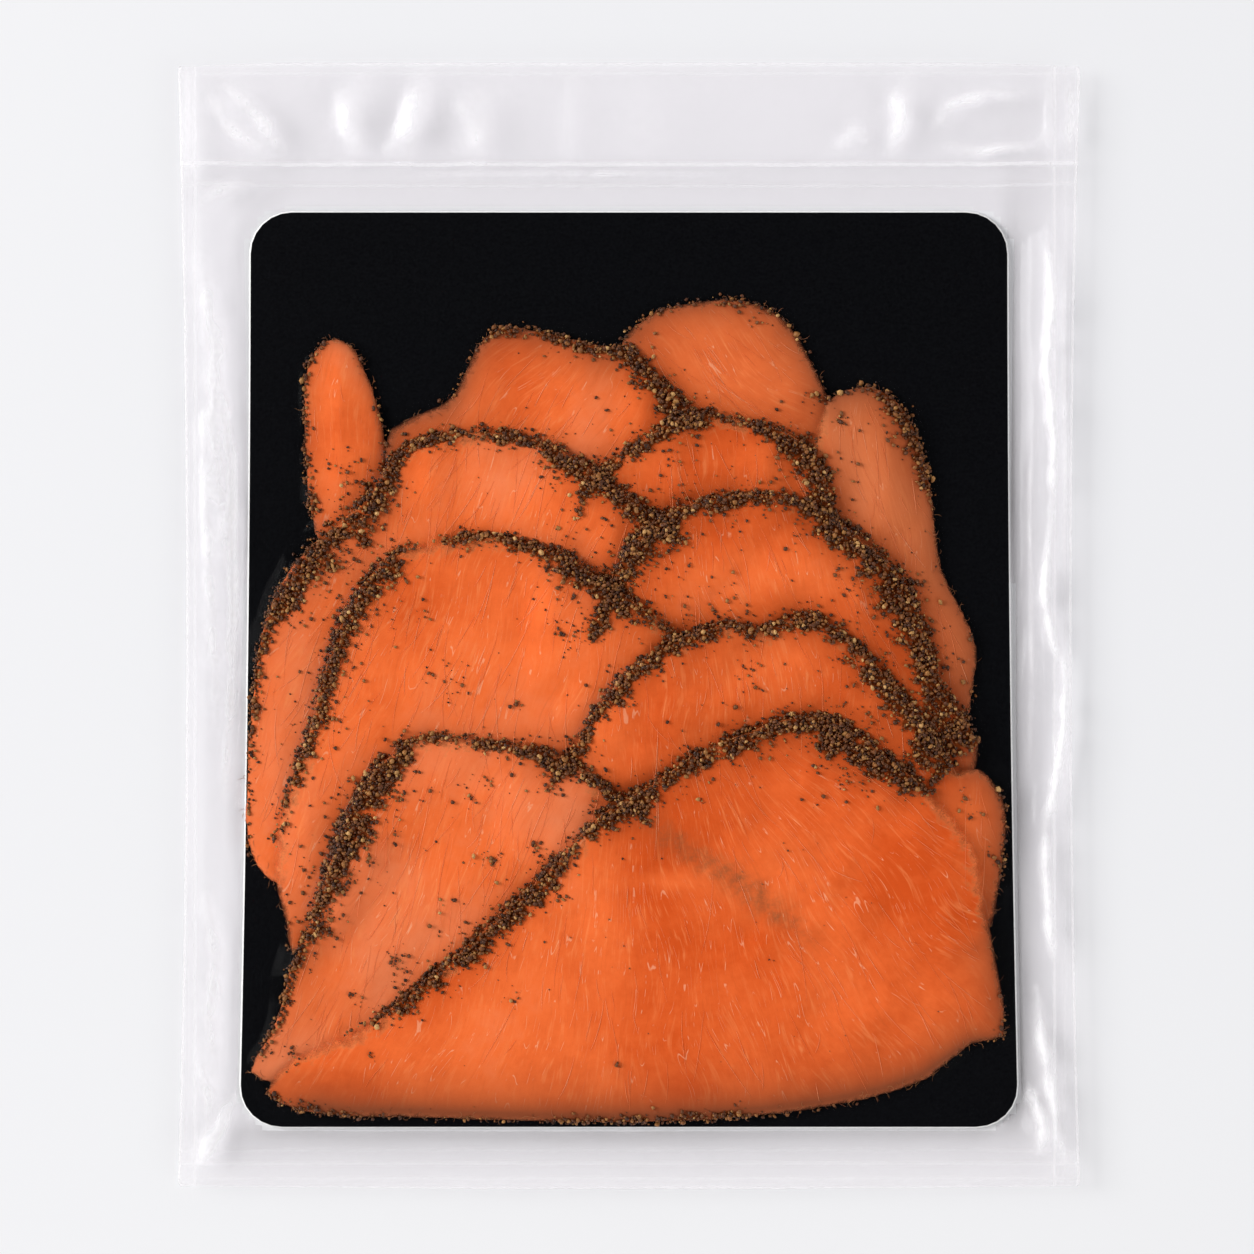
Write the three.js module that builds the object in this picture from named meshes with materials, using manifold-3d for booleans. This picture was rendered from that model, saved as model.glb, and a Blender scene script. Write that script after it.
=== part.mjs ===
// A flat vacuum pack of sliced smoked salmon with a cracked-pepper crust, lying on its back.
// A clear four-sided pouch holds a rounded black card, and eleven thin slices lie on the card like
// roof tiles: each one rests on those before it, so the front slice is the only one that shows whole.
// Units are millimetres. +X is the pack's right, +Y its header end and +Z up from the surface it lies on.

import * as THREE from "three";
import { mergeVertices } from "three/addons/utils/BufferGeometryUtils.js";
import Module from "manifold-3d";

const wasm = await Module();
wasm.setup();

// ---- Driving dimensions ----

const FILM = 0.3; // the pouch's back web, its two films taken together
const POUCH = { top: 144, bottom: -144, half: 115.4, waist: 2.2, radius: 2 };
const CARD = { top: 106.5, bottom: -129, half: 97.5, flare: 2.8, radius: 11, thick: 1.2, bevel: 0.5 };
const POCKET_PLAY = 0.3; // clear space round the card inside the pouch
const MARGIN = {
  rollOut: 0.3, // where the roll of slack film round the card peaks, as a share of the margin's width
  rollHeight: 3.6,
  sealIn: 0.72, // where the sealed strip starts
  sealHeight: 4.6,
  sealThick: 0.8,
  footOut: 0.12, // how far past the card the flat back reaches before the margin curls up
};
const LOOP = { perSide: 9, perCorner: 6 };

const SLICE = {
  thick: 2.5, // in the middle
  edge: 1.1, // at the feathered rim
  feather: 9, // how far in from the rim it thickens
  gap: 0.3, // between neighbours
  fall: 0.26, // slope of a slice where it comes down off the one below
};
const CELL = 7.8; // spacing of the grid that all the slices share

// The slices from the back of the stack to the front. crust is the peppered edge, from its left foot
// over the crown to its right foot, and tail is the rest of the outline back to the left foot.
const SLICES = [
  {
    name: "slice_finger",
    colour: 0xdf7238,
    crust: [
      [-81, 24], [-83.5, 52.5], [-83, 66.5], [-78.5, 73], [-74.5, 74], [-69.5, 70.5], [-62.5, 51],
      [-61.5, 38],
    ],
    tail: [[-64, 20], [-73, 14.5]],
  },
  {
    name: "slice_crown",
    colour: 0xdd7440,
    crust: [[-4.5, 69], [5.5, 80.5], [18, 83.5], [29, 84], [39.5, 79.5], [46.5, 69], [51, 59.5], [55.5, 50]],
    tail: [[56.5, 32], [41, 20.5], [15.5, 22], [-2.5, 37]],
  },
  {
    name: "slice_right_rim",
    colour: 0xd87a48,
    crust: [[46.5, 47.5], [50, 57], [56.5, 61], [64.5, 61], [71, 55], [76, 43.5], [78.5, 29.5]],
    tail: [
      [80.5, 14.5], [86, 3.5], [89.5, -5.5], [88.5, -16.5], [86.5, -26.5], [76.5, -36.5], [61.5, -24],
      [45, 1.5],
    ],
  },
  {
    name: "slice_left_crown",
    colour: 0xe87338,
    crust: [
      [-61.5, 50.5], [-48, 57], [-44, 61.5], [-40, 70.5], [-34, 76.5], [-22.5, 76], [-7.5, 72], [1, 71],
      [6.5, 64.5], [19.5, 51],
    ],
    tail: [[23, 34.5], [10.5, 20.5], [-17.5, 17], [-48, 24.5], [-62, 38]],
  },
  {
    name: "slice_right_1",
    colour: 0xdc6a34,
    crust: [
      [-14, 27], [-7.5, 39.5], [4, 48.5], [16.5, 54.5], [28.5, 53], [41, 49.5], [48, 43.5], [51.5, 33.5],
    ],
    tail: [[53, 18], [36, -6], [8, -3.5], [-10, 9]],
  },
  {
    name: "slice_left_1",
    colour: 0xe66f36,
    crust: [
      [-98, -56], [-98.5, -42], [-97, -19], [-94, 0.5], [-87, 15], [-76, 25.5], [-67, 33], [-60, 44],
      [-52, 48.5], [-38, 50], [-25, 48.5], [-15, 44], [-4.5, 36.5], [6.5, 28.5], [15.5, 19.5],
    ],
    tail: [[15.5, 1.5], [-7.5, -16.5], [-45.5, -24], [-71, -44.5], [-84, -68], [-93, -65]],
  },
  {
    name: "slice_right_2",
    colour: 0xe56c36,
    crust: [
      [-10, -3.5], [-5.5, 9], [-0.5, 20], [8, 28], [19.5, 32.5], [32, 34], [45, 32], [54.5, 26],
      [65, 18], [73, 7], [77, -6], [82.5, -19], [90, -30.5],
    ],
    tail: [[84.5, -44.5], [59, -44.5], [28.5, -29], [3, -19]],
  },
  {
    name: "slice_left_2",
    colour: 0xea6d33,
    crust: [
      [-90, -49.5], [-86.5, -39], [-82.5, -28], [-76.5, -6], [-72, 4.5], [-65.5, 14], [-57, 20.5],
      [-47, 22.5], [-35.5, 23.5], [-24, 21], [-14, 17], [-5, 11], [11, -0.5], [20.5, -8.5],
    ],
    tail: [
      [23, -26.5], [3, -44.5], [-33, -52], [-58.5, -62], [-74, -82], [-86.5, -84], [-88, -76], [-91.5, -62],
    ],
  },
  {
    name: "slice_right_3",
    colour: 0xe26b36,
    crust: [
      [-20.5, -42], [-15.5, -33], [-9.5, -22], [-2, -13], [6.5, -6], [17, -1.5], [27, 1], [34.5, -0.5],
      [43.5, 3.5], [51.5, 1], [60, -6.5], [69, -16], [76.5, -26], [83, -36],
    ],
    tail: [
      [89.5, -36], [94, -40.5], [97, -48], [96.5, -58], [95, -69], [92, -80], [80, -86], [54, -80],
      [28.5, -66], [-2.5, -60],
    ],
  },
  {
    name: "slice_left_3",
    colour: 0xe77243,
    crust: [
      [-93.5, -106.5], [-89.5, -98], [-87.5, -89], [-84, -81.5], [-76, -58.5], [-72, -47.5], [-66, -38],
      [-58.5, -30.5], [-51, -27.5], [-39, -28.5], [-26.5, -30.5], [-16.5, -33], [-2, -43.5], [8, -50.5],
      [25.5, -62], [41, -73.5], [54, -86],
    ],
    tail: [[50, -103], [18, -112], [-28, -114], [-63.5, -116], [-89, -118], [-97.5, -114.5]],
  },
  {
    name: "slice_front",
    colour: 0xe6692f,
    crust: [
      [-70.5, -103], [-58.5, -95.5], [-48, -86.5], [-35.5, -76], [-25, -66], [-16, -57], [-7, -47.5],
      [3, -41.5], [14.5, -34], [27, -28], [39.5, -23.5], [50, -23], [60, -28.5], [69.5, -36],
    ],
    tail: [
      [78, -43], [85.5, -50.5], [90.5, -60], [92, -74], [95, -90], [96.5, -105.5], [88, -107.5],
      [76.5, -116.5], [59.5, -122], [36, -125.5], [3, -127.5], [-33, -127], [-58.5, -126],
      [-84, -124.5], [-93, -119], [-86, -109.5],
    ],
  },
];

// ---- Lofted shapes: the pouch and the card ----

/** Half the card's width at a height y: it flares a little towards the foot of the pack. */
function cardHalf(y) {
  const down = (CARD.top - y) / (CARD.top - CARD.bottom);
  return CARD.half + CARD.flare * down * down;
}

/** Half the pouch's width at a height y: vacuum draws the sides in at the waist. */
function pouchHalf(y) {
  return POUCH.half - POUCH.waist * (1 - (y / POUCH.top) ** 2);
}

/** A rounded rectangle as points, counter-clockwise, with the same count for any size. */
function roundedLoop({ top, bottom, radius, half }, halfAt, grow = 0) {
  const r = Math.max(radius + grow, 0.2);
  const reach = half + grow;
  const [high, low] = [top + grow, bottom - grow];
  const corners = [
    [reach - r, high - r, 0],
    [r - reach, high - r, 1],
    [r - reach, low + r, 2],
    [reach - r, low + r, 3],
  ];
  const loop = [];
  corners.forEach(([cx, cy, quarter], index) => {
    for (let k = 0; k <= LOOP.perCorner; k += 1) {
      const angle = (quarter + k / LOOP.perCorner) * (Math.PI / 2);
      loop.push([cx + r * Math.cos(angle), cy + r * Math.sin(angle)]);
    }
    const from = loop[loop.length - 1];
    const [nx, ny, next] = corners[(index + 1) % corners.length];
    const to = [nx + r * Math.cos((next * Math.PI) / 2), ny + r * Math.sin((next * Math.PI) / 2)];
    for (let k = 1; k < LOOP.perSide; k += 1) {
      const share = k / LOOP.perSide;
      loop.push([from[0] + (to[0] - from[0]) * share, from[1] + (to[1] - from[1]) * share]);
    }
  });
  return loop.map(([x, y]) => [(x * (halfAt(y) + grow)) / reach, y]);
}

/** Points a share of the way from one loop to another. */
function between(inner, outer, share) {
  return inner.map(([x, y], i) => [x + (outer[i][0] - x) * share, y + (outer[i][1] - y) * share]);
}

/** A closed body skinned over rings that run from the middle of its top to the middle of its underside. */
function skin(rings) {
  const count = rings[0].loop.length;
  const positions = [];
  const index = [];
  const centre = (z) => {
    positions.push(0, 0, z);
    return positions.length / 3 - 1;
  };
  const first = centre(rings[0].z);
  const start = positions.length / 3;
  rings.forEach(({ loop, z }) => loop.forEach(([x, y]) => positions.push(x, y, z)));
  const last = centre(rings[rings.length - 1].z);
  const at = (ring, i) => start + ring * count + (i % count);
  for (let i = 0; i < count; i += 1) {
    index.push(first, at(0, i), at(0, i + 1));
    for (let ring = 0; ring + 1 < rings.length; ring += 1) {
      index.push(at(ring, i), at(ring + 1, i), at(ring + 1, i + 1));
      index.push(at(ring, i), at(ring + 1, i + 1), at(ring, i + 1));
    }
    index.push(last, at(rings.length - 1, i + 1), at(rings.length - 1, i));
  }
  const geometry = new THREE.BufferGeometry();
  geometry.setAttribute("position", new THREE.Float32BufferAttribute(positions, 3));
  geometry.setIndex(index);
  geometry.computeVertexNormals();
  return geometry;
}

/** The pouch: one solid with a flat back, a pocket that the card lies in and a sealed margin all round. */
function pouchGeometry() {
  const card = roundedLoop(CARD, cardHalf, POCKET_PLAY);
  const rim = roundedLoop(POUCH, pouchHalf);
  const seal = between(card, rim, MARGIN.sealIn);
  const underside = MARGIN.sealHeight - MARGIN.sealThick;
  return skin([
    { loop: card, z: FILM },
    { loop: card, z: FILM + CARD.thick - CARD.bevel },
    { loop: between(card, rim, MARGIN.rollOut), z: MARGIN.rollHeight },
    { loop: seal, z: MARGIN.sealHeight },
    { loop: rim, z: MARGIN.sealHeight },
    { loop: rim, z: underside },
    { loop: seal, z: underside },
    { loop: between(card, rim, MARGIN.footOut), z: 0 },
  ]);
}

/** The card: rounded corners, and a bevel along its die-cut upper edge. */
function cardGeometry() {
  const outer = roundedLoop(CARD, cardHalf);
  const face = roundedLoop(CARD, cardHalf, -CARD.bevel);
  const top = FILM + CARD.thick;
  return skin([
    { loop: face, z: top },
    { loop: outer, z: top - CARD.bevel },
    { loop: outer, z: FILM },
  ]);
}

// ---- Slices ----

/** The smooth closed outline of a slice. */
function outlineOf({ crust, tail }) {
  const anchors = [...crust, ...tail].map(([x, y]) => new THREE.Vector3(x, y, 0));
  const curve = new THREE.CatmullRomCurve3(anchors, true, "centripetal");
  return curve.getPoints(anchors.length * 2).slice(1).map((p) => new THREE.Vector2(p.x, p.y));
}

/** How far a point is inside an outline: positive inside it, negative outside. */
function depthInside(outline, x, y) {
  let nearest = Infinity;
  let inside = false;
  outline.forEach((a, i) => {
    const b = outline[(i + 1) % outline.length];
    const [ex, ey] = [b.x - a.x, b.y - a.y];
    const along = THREE.MathUtils.clamp(((x - a.x) * ex + (y - a.y) * ey) / (ex * ex + ey * ey), 0, 1);
    nearest = Math.min(nearest, Math.hypot(x - a.x - ex * along, y - a.y - ey * along));
    if (a.y > y !== b.y > y && x < a.x + (ex * (y - a.y)) / ey) inside = !inside;
  });
  return inside ? nearest : -nearest;
}

/** The grid's nodes over the card, each with the height that the stack has reached there. */
class Stack {
  constructor() {
    this.columns = Math.ceil((2 * (CARD.half + CARD.flare)) / CELL) + 5;
    this.rows = Math.ceil((CARD.top - CARD.bottom) / CELL) + 5;
    this.left = (-this.columns * CELL) / 2;
    this.low = (CARD.top + CARD.bottom - this.rows * CELL) / 2;
    this.height = new Float64Array((this.columns + 1) * (this.rows + 1)).fill(FILM + CARD.thick);
  }

  node(column, row) {
    return row * (this.columns + 1) + column;
  }

  /** Lays a slice on the stack and returns the slab that it is cut from. */
  lay(outline) {
    const positions = [];
    const depth = [];
    for (let row = 0; row <= this.rows; row += 1) {
      for (let column = 0; column <= this.columns; column += 1) {
        const [x, y] = [this.left + column * CELL, this.low + row * CELL];
        const inside = depthInside(outline, x, y);
        const body = THREE.MathUtils.smoothstep(inside, 0, SLICE.feather);
        const n = this.node(column, row);
        const bottom = this.height[n] + SLICE.gap;
        const top = bottom + SLICE.edge + (SLICE.thick - SLICE.edge) * body;
        const outside = Math.max(0, -inside - CELL * Math.SQRT2);
        this.height[n] = Math.max(this.height[n], top - SLICE.fall * outside);
        positions.push([x, y, bottom, top]);
        depth.push(inside);
      }
    }
    return this.slab(positions, depth);
  }

  /** A closed slab over the cells that an outline reaches. */
  slab(nodes, depth) {
    const count = nodes.length;
    const vertices = nodes.flatMap(([x, y, , top]) => [x, y, top]);
    nodes.forEach(([x, y, bottom]) => vertices.push(x, y, bottom));
    const index = [];
    const reached = (column, row) => {
      if (column < 0 || row < 0 || column >= this.columns || row >= this.rows) return false;
      const corners = [[0, 0], [1, 0], [1, 1], [0, 1]];
      return corners.some(([dx, dy]) => depth[this.node(column + dx, row + dy)] > -CELL);
    };
    const wall = (a, b) => index.push(a, a + count, b + count, a, b + count, b);
    for (let row = 0; row < this.rows; row += 1) {
      for (let column = 0; column < this.columns; column += 1) {
        if (!reached(column, row)) continue;
        const a = this.node(column, row);
        const b = this.node(column + 1, row);
        const c = this.node(column + 1, row + 1);
        const d = this.node(column, row + 1);
        index.push(a, b, c, a, c, d);
        index.push(a + count, c + count, b + count, a + count, d + count, c + count);
        if (!reached(column, row - 1)) wall(a, b);
        if (!reached(column + 1, row)) wall(b, c);
        if (!reached(column, row + 1)) wall(c, d);
        if (!reached(column - 1, row)) wall(d, a);
      }
    }
    const geometry = new THREE.BufferGeometry();
    geometry.setAttribute("position", new THREE.Float32BufferAttribute(vertices, 3));
    geometry.setIndex(index);
    return geometry;
  }
}

/** A geometry's closed surface as a solid that can be cut. */
function solidFrom(geometry) {
  const bare = geometry.index ? geometry.toNonIndexed() : geometry.clone();
  bare.deleteAttribute("normal");
  bare.deleteAttribute("uv");
  const merged = mergeVertices(bare, 1e-4);
  return new wasm.Manifold(
    new wasm.Mesh({
      numProp: 3,
      vertProperties: merged.attributes.position.array,
      triVerts: new Uint32Array(merged.index.array),
    }),
  );
}

/** A solid as a geometry. */
function geometryFrom(solid) {
  const mesh = solid.getMesh();
  const geometry = new THREE.BufferGeometry();
  geometry.setAttribute("position", new THREE.BufferAttribute(mesh.vertProperties, 3));
  geometry.setIndex(new THREE.BufferAttribute(mesh.triVerts, 1));
  geometry.computeVertexNormals();
  return geometry;
}

/** A slice laid on the stack and cut to its outline. */
function sliceGeometry(stack, slice) {
  const outline = outlineOf(slice);
  const cutter = new THREE.ExtrudeGeometry(new THREE.Shape(outline), { depth: 60, bevelEnabled: false });
  cutter.translate(0, 0, -10);
  return geometryFrom(solidFrom(stack.lay(outline)).intersect(solidFrom(cutter)));
}

// ---- Assembly ----

function piece(name, geometry, colour, roughness, extra = {}) {
  const material = new THREE.MeshStandardMaterial({ color: colour, roughness, metalness: 0, ...extra });
  const mesh = new THREE.Mesh(geometry, material);
  mesh.name = name;
  return mesh;
}

const pack = new THREE.Group();
pack.add(piece("pouch", pouchGeometry(), 0xe6e5e8, 0.15, { transparent: true, opacity: 0.35 }));
pack.add(piece("card", cardGeometry(), 0x08090c, 0.45));

const stack = new Stack();
SLICES.forEach((slice) => pack.add(piece(slice.name, sliceGeometry(stack, slice), slice.colour, 0.4)));

export default pack;
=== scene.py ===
"""Looks of a flat vacuum pack of sliced smoked salmon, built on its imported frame.

Eleven slices of cured salmon lie on a black card like roof tiles. Each has a crust of cracked pepper on its
outer edge, and a clear pouch with a sealed header is drawn tight over them. Sizes in the classes are in
millimetres, in the frame's own axes: +X right, +Y towards the header, +Z up. Meshes are in metres.
"""

import logging
import math
from dataclasses import dataclass, field
from enum import Enum
from typing import Any, Iterable, Sequence

import bmesh
import bpy
import numpy as np
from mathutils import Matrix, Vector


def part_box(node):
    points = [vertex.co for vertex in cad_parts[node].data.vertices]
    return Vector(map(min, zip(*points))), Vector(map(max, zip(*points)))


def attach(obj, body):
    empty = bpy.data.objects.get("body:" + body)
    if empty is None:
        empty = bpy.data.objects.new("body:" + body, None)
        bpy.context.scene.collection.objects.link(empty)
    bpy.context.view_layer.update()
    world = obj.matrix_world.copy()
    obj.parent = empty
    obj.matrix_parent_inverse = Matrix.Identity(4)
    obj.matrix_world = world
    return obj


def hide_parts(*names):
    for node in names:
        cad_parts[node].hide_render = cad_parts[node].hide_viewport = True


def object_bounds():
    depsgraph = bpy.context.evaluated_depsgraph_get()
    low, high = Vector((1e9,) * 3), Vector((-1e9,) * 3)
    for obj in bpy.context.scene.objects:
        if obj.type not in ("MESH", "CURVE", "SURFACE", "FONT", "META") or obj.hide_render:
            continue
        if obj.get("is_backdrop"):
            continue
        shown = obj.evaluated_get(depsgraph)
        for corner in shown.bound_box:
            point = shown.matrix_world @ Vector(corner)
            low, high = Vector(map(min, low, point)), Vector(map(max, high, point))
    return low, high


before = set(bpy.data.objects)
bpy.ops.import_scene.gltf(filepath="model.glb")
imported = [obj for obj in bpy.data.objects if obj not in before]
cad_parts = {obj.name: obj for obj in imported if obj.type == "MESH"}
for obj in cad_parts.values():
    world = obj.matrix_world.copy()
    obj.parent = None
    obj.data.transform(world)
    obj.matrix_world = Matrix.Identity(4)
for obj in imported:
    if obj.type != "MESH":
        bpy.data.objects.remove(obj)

MM = 0.001
CAD_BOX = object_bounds()
ROOT = "root"
LOG = logging.getLogger("salmon_pack")

Pair = tuple[float, float]
Colour = tuple[float, float, float, float]


# ---- Small helpers ----


def colour(red: int, green: int, blue: int) -> Colour:
    """Turns a colour as seen on a screen into the light values that shaders use.

    Args:
        red: Red, from 0 to 255.
        green: Green, from 0 to 255.
        blue: Blue, from 0 to 255.

    Returns:
        The colour in linear light, with an alpha of 1.
    """
    shares = [value / 255 for value in (red, green, blue)]
    light = [s / 12.92 if s <= 0.04045 else ((s + 0.055) / 1.055) ** 2.4 for s in shares]
    return (light[0], light[1], light[2], 1.0)


def ease(value: np.ndarray, low: float, high: float) -> np.ndarray:
    """Rises smoothly from 0 at low to 1 at high.

    Args:
        value: The numbers to ease.
        low: Where the rise starts.
        high: Where it ends.

    Returns:
        The eased numbers.
    """
    share = np.clip((value - low) / (high - low), 0, 1)
    return share * share * (3 - 2 * share)


def ripple(places: np.ndarray, size: float, seed: float) -> np.ndarray:
    """A smooth uneven field made of a few crossing waves, between about -1 and 1.

    Args:
        places: Points, one row each, in millimetres.
        size: The length of the longest wave.
        seed: Shifts the waves, so that two fields differ.

    Returns:
        One number for each place.
    """
    total = np.zeros(len(places))
    for turn in range(5):
        angle = 2.4 * turn + seed
        reach = 2 * math.pi / (size * (1 - 0.13 * turn))
        along = places[:, 0] * math.cos(angle) + places[:, 1] * math.sin(angle)
        across = places[:, 1] * math.cos(angle) - places[:, 0] * math.sin(angle)
        total += np.sin(along * reach + 3 * seed + turn + 0.9 * np.sin(across * reach * 0.7 + seed))
    return total / 3.2


class Hands:
    """The modelling moves that every piece shares."""

    @staticmethod
    def clear() -> None:
        """Deselects everything, in object mode."""
        if bpy.context.object and bpy.context.object.mode != "OBJECT":
            bpy.ops.object.mode_set(mode="OBJECT")
        bpy.ops.object.select_all(action="DESELECT")

    @staticmethod
    def take(piece: bpy.types.Object) -> None:
        """Makes one piece the only selected one, and the active one."""
        Hands.clear()
        piece.select_set(True)
        bpy.context.view_layer.objects.active = piece

    @staticmethod
    def press(piece: bpy.types.Object, kind: str, **settings: Any) -> None:
        """Adds a modifier to a piece and applies it.

        Args:
            piece: The piece to change.
            kind: The modifier's type.
            **settings: The modifier's own settings.
        """
        Hands.take(piece)
        modifier = piece.modifiers.new(kind.lower(), kind)
        for name, value in settings.items():
            setattr(modifier, name, value)
        bpy.ops.object.modifier_apply(modifier=modifier.name)

    @staticmethod
    def smooth(piece: bpy.types.Object) -> None:
        """Shades a piece smooth."""
        Hands.take(piece)
        bpy.ops.object.shade_smooth()

    @staticmethod
    def places(piece: bpy.types.Object) -> np.ndarray:
        """A piece's vertices, in millimetres, one row each."""
        flat = np.empty(len(piece.data.vertices) * 3, np.float32)
        piece.data.vertices.foreach_get("co", flat)
        return flat.reshape(-1, 3).astype(float) / MM

    @staticmethod
    def place(piece: bpy.types.Object, places: np.ndarray) -> None:
        """Sets a piece's vertices, given in millimetres."""
        piece.data.vertices.foreach_set("co", (places * MM).astype(np.float32).ravel())
        piece.data.update()

    @staticmethod
    def tag(piece: bpy.types.Object, name: str, values: np.ndarray) -> None:
        """Stores one number, or one vector, at each vertex of a piece.

        Args:
            piece: The piece.
            name: The attribute's name.
            values: One number, or a row of three, for each vertex.
        """
        kind, key = ("FLOAT", "value") if values.ndim == 1 else ("FLOAT_VECTOR", "vector")
        attribute = piece.data.attributes.new(name, kind, "POINT")
        attribute.data.foreach_set(key, values.astype(np.float32).ravel())

    @staticmethod
    def join(name: str, vertices: np.ndarray, faces: np.ndarray) -> bpy.types.Object:
        """Makes one piece of many small shapes.

        Args:
            name: The piece's name.
            vertices: All the vertices, in millimetres.
            faces: The triangles, as rows of three vertex numbers.

        Returns:
            The new piece.
        """
        mesh = bpy.data.meshes.new(name)
        mesh.vertices.add(len(vertices))
        mesh.vertices.foreach_set("co", (vertices * MM).astype(np.float32).ravel())
        mesh.loops.add(faces.size)
        mesh.loops.foreach_set("vertex_index", faces.astype(np.int32).ravel())
        mesh.polygons.add(len(faces))
        mesh.polygons.foreach_set("loop_start", np.arange(0, faces.size, 3, dtype=np.int32))
        mesh.update(calc_edges=True)
        mesh.validate()
        piece = bpy.data.objects.new(name, mesh)
        bpy.context.scene.collection.objects.link(piece)
        return piece

    @staticmethod
    def second(piece: bpy.types.Object, finish: "Finish", where: np.ndarray) -> None:
        """Gives a second finish to the faces of a piece that touch marked vertices.

        Args:
            piece: The piece, all of quads.
            finish: The second finish.
            where: A mark for each vertex.
        """
        piece.data.materials.append(finish.material)
        marks = np.empty(len(piece.data.loops), np.int32)
        piece.data.loops.foreach_get("vertex_index", marks)
        touched = where[marks].reshape(-1, 4).any(axis=1)
        piece.data.polygons.foreach_set("material_index", touched.astype(np.int32))

    @staticmethod
    def hand_over(piece: bpy.types.Object, finish: "Finish", slot: str, *nodes: str) -> None:
        """Dresses a finished piece and lets it ride on the pack.

        Args:
            piece: The piece.
            finish: What it is dressed in.
            slot: The record's material slot; not used.
            *nodes: The CAD nodes that it stands for.
        """
        piece.data.materials.clear()
        piece.data.materials.append(finish.material)
        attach(piece, ROOT)
        if nodes:
            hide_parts(*nodes)
        LOG.info("%s: %d faces", piece.name, len(piece.data.polygons))


# ---- Outlines and heights ----


@dataclass
class Outline:
    """A closed loop seen from above, running clockwise, in millimetres."""

    points: np.ndarray

    @classmethod
    def around(cls, node: str) -> "Outline":
        """Finds the loop round the top of a node's outermost upright wall.

        Args:
            node: The CAD node's name.

        Returns:
            The outline.
        """
        shape = bmesh.new()
        shape.from_mesh(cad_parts[node].data)
        bmesh.ops.remove_doubles(shape, verts=shape.verts, dist=2e-6)
        shape.normal_update()
        shape.verts.index_update()
        shape.verts.ensure_lookup_table()
        links: dict[int, list[int]] = {}
        for edge in shape.edges:
            rises = [face.normal.z for face in edge.link_faces]
            if len(rises) == 2 and min(abs(rise) for rise in rises) < 0.3 and max(rises) > 0.3:
                first, second = (vertex.index for vertex in edge.verts)
                links.setdefault(first, []).append(second)
                links.setdefault(second, []).append(first)
        loops = []
        while links:
            here = next(iter(links))
            loop = []
            while here in links:
                loop.append(here)
                ahead = [there for there in links.pop(here) if there in links]
                here = ahead[0] if ahead else -1
            loops.append(np.array([shape.verts[index].co[:] for index in loop]) / MM)
        shape.free()
        longest = max(loops, key=lambda loop: np.ptp(loop[:, 0]) + np.ptp(loop[:, 1]))
        return cls(longest if cls.turning(longest) < 0 else longest[::-1])

    @staticmethod
    def turning(loop: np.ndarray) -> float:
        """Twice the area that a loop goes round, above nought when it runs counter-clockwise."""
        ahead = np.roll(loop, -1, axis=0)
        return float(np.sum(loop[:, 0] * ahead[:, 1] - ahead[:, 0] * loop[:, 1]))

    def depth(self, places: np.ndarray) -> np.ndarray:
        """Measures how far places are inside the outline.

        Args:
            places: Points, one row each.

        Returns:
            The distance to the outline: above nought inside it, below nought outside.
        """
        nearest = np.full(len(places), np.inf)
        inside = np.zeros(len(places), bool)
        corners = self.points[:, :2]
        for start, end in zip(corners, np.roll(corners, -1, axis=0)):
            side = end - start
            offset = places[:, :2] - start
            along = np.clip(offset @ side / max(side @ side, 1e-9), 0, 1)
            nearest = np.minimum(nearest, np.linalg.norm(offset - along[:, None] * side, axis=1))
            if side[1]:
                crosses = (start[1] > places[:, 1]) != (end[1] > places[:, 1])
                inside ^= crosses & (offset[:, 0] < side[0] * offset[:, 1] / side[1])
        return np.where(inside, nearest, -nearest)

    def stretch(self, start: Pair, end: Pair, step: float) -> np.ndarray:
        """Follows the outline clockwise from one place to another.

        Args:
            start: A point near where the stretch starts.
            end: A point near where it ends.
            step: The distance between the points given back.

        Returns:
            Evenly spaced points, one row each.
        """
        closed = np.vstack([self.points, self.points[:1]])[:, :2]
        fine = np.vstack([
            a + (b - a) * np.arange(0, 1, 0.1)[:, None] for a, b in zip(closed[:-1], closed[1:])
        ])
        first = int(np.argmin(np.linalg.norm(fine - start, axis=1)))
        last = int(np.argmin(np.linalg.norm(fine - end, axis=1)))
        line = np.roll(fine, -first, axis=0)[: (last - first) % len(fine) + 1]
        return even(line, step)


def even(line: np.ndarray, step: float) -> np.ndarray:
    """Sets points at even steps along a line.

    Args:
        line: The line's points.
        step: The distance wanted between points.

    Returns:
        The new points.
    """
    run = np.concatenate([[0], np.cumsum(np.linalg.norm(np.diff(line, axis=0), axis=1))])
    marks = np.linspace(0, run[-1], max(2, round(run[-1] / step)))
    return np.column_stack([np.interp(marks, run, line[:, axis]) for axis in range(line.shape[1])])


def away(places: np.ndarray, line: Sequence[Pair]) -> tuple[np.ndarray, np.ndarray]:
    """Measures places against an open line.

    Args:
        places: Points, one row each.
        line: The line's points.

    Returns:
        The distance to the line, and how far along it the nearest point is, from 0 to 1.
    """
    corners = np.array(line, float)
    lengths = np.linalg.norm(np.diff(corners, axis=0), axis=1)
    starts = np.concatenate([[0], np.cumsum(lengths)])
    nearest = np.full(len(places), np.inf)
    run = np.zeros(len(places))
    for start, end, length, before in zip(corners[:-1], corners[1:], lengths, starts):
        side = end - start
        offset = places[:, :2] - start
        along = np.clip(offset @ side / (side @ side), 0, 1)
        gap = np.linalg.norm(offset - along[:, None] * side, axis=1)
        closer = gap < nearest
        nearest = np.where(closer, gap, nearest)
        run = np.where(closer, (before + along * length) / starts[-1], run)
    return nearest, run


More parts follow.
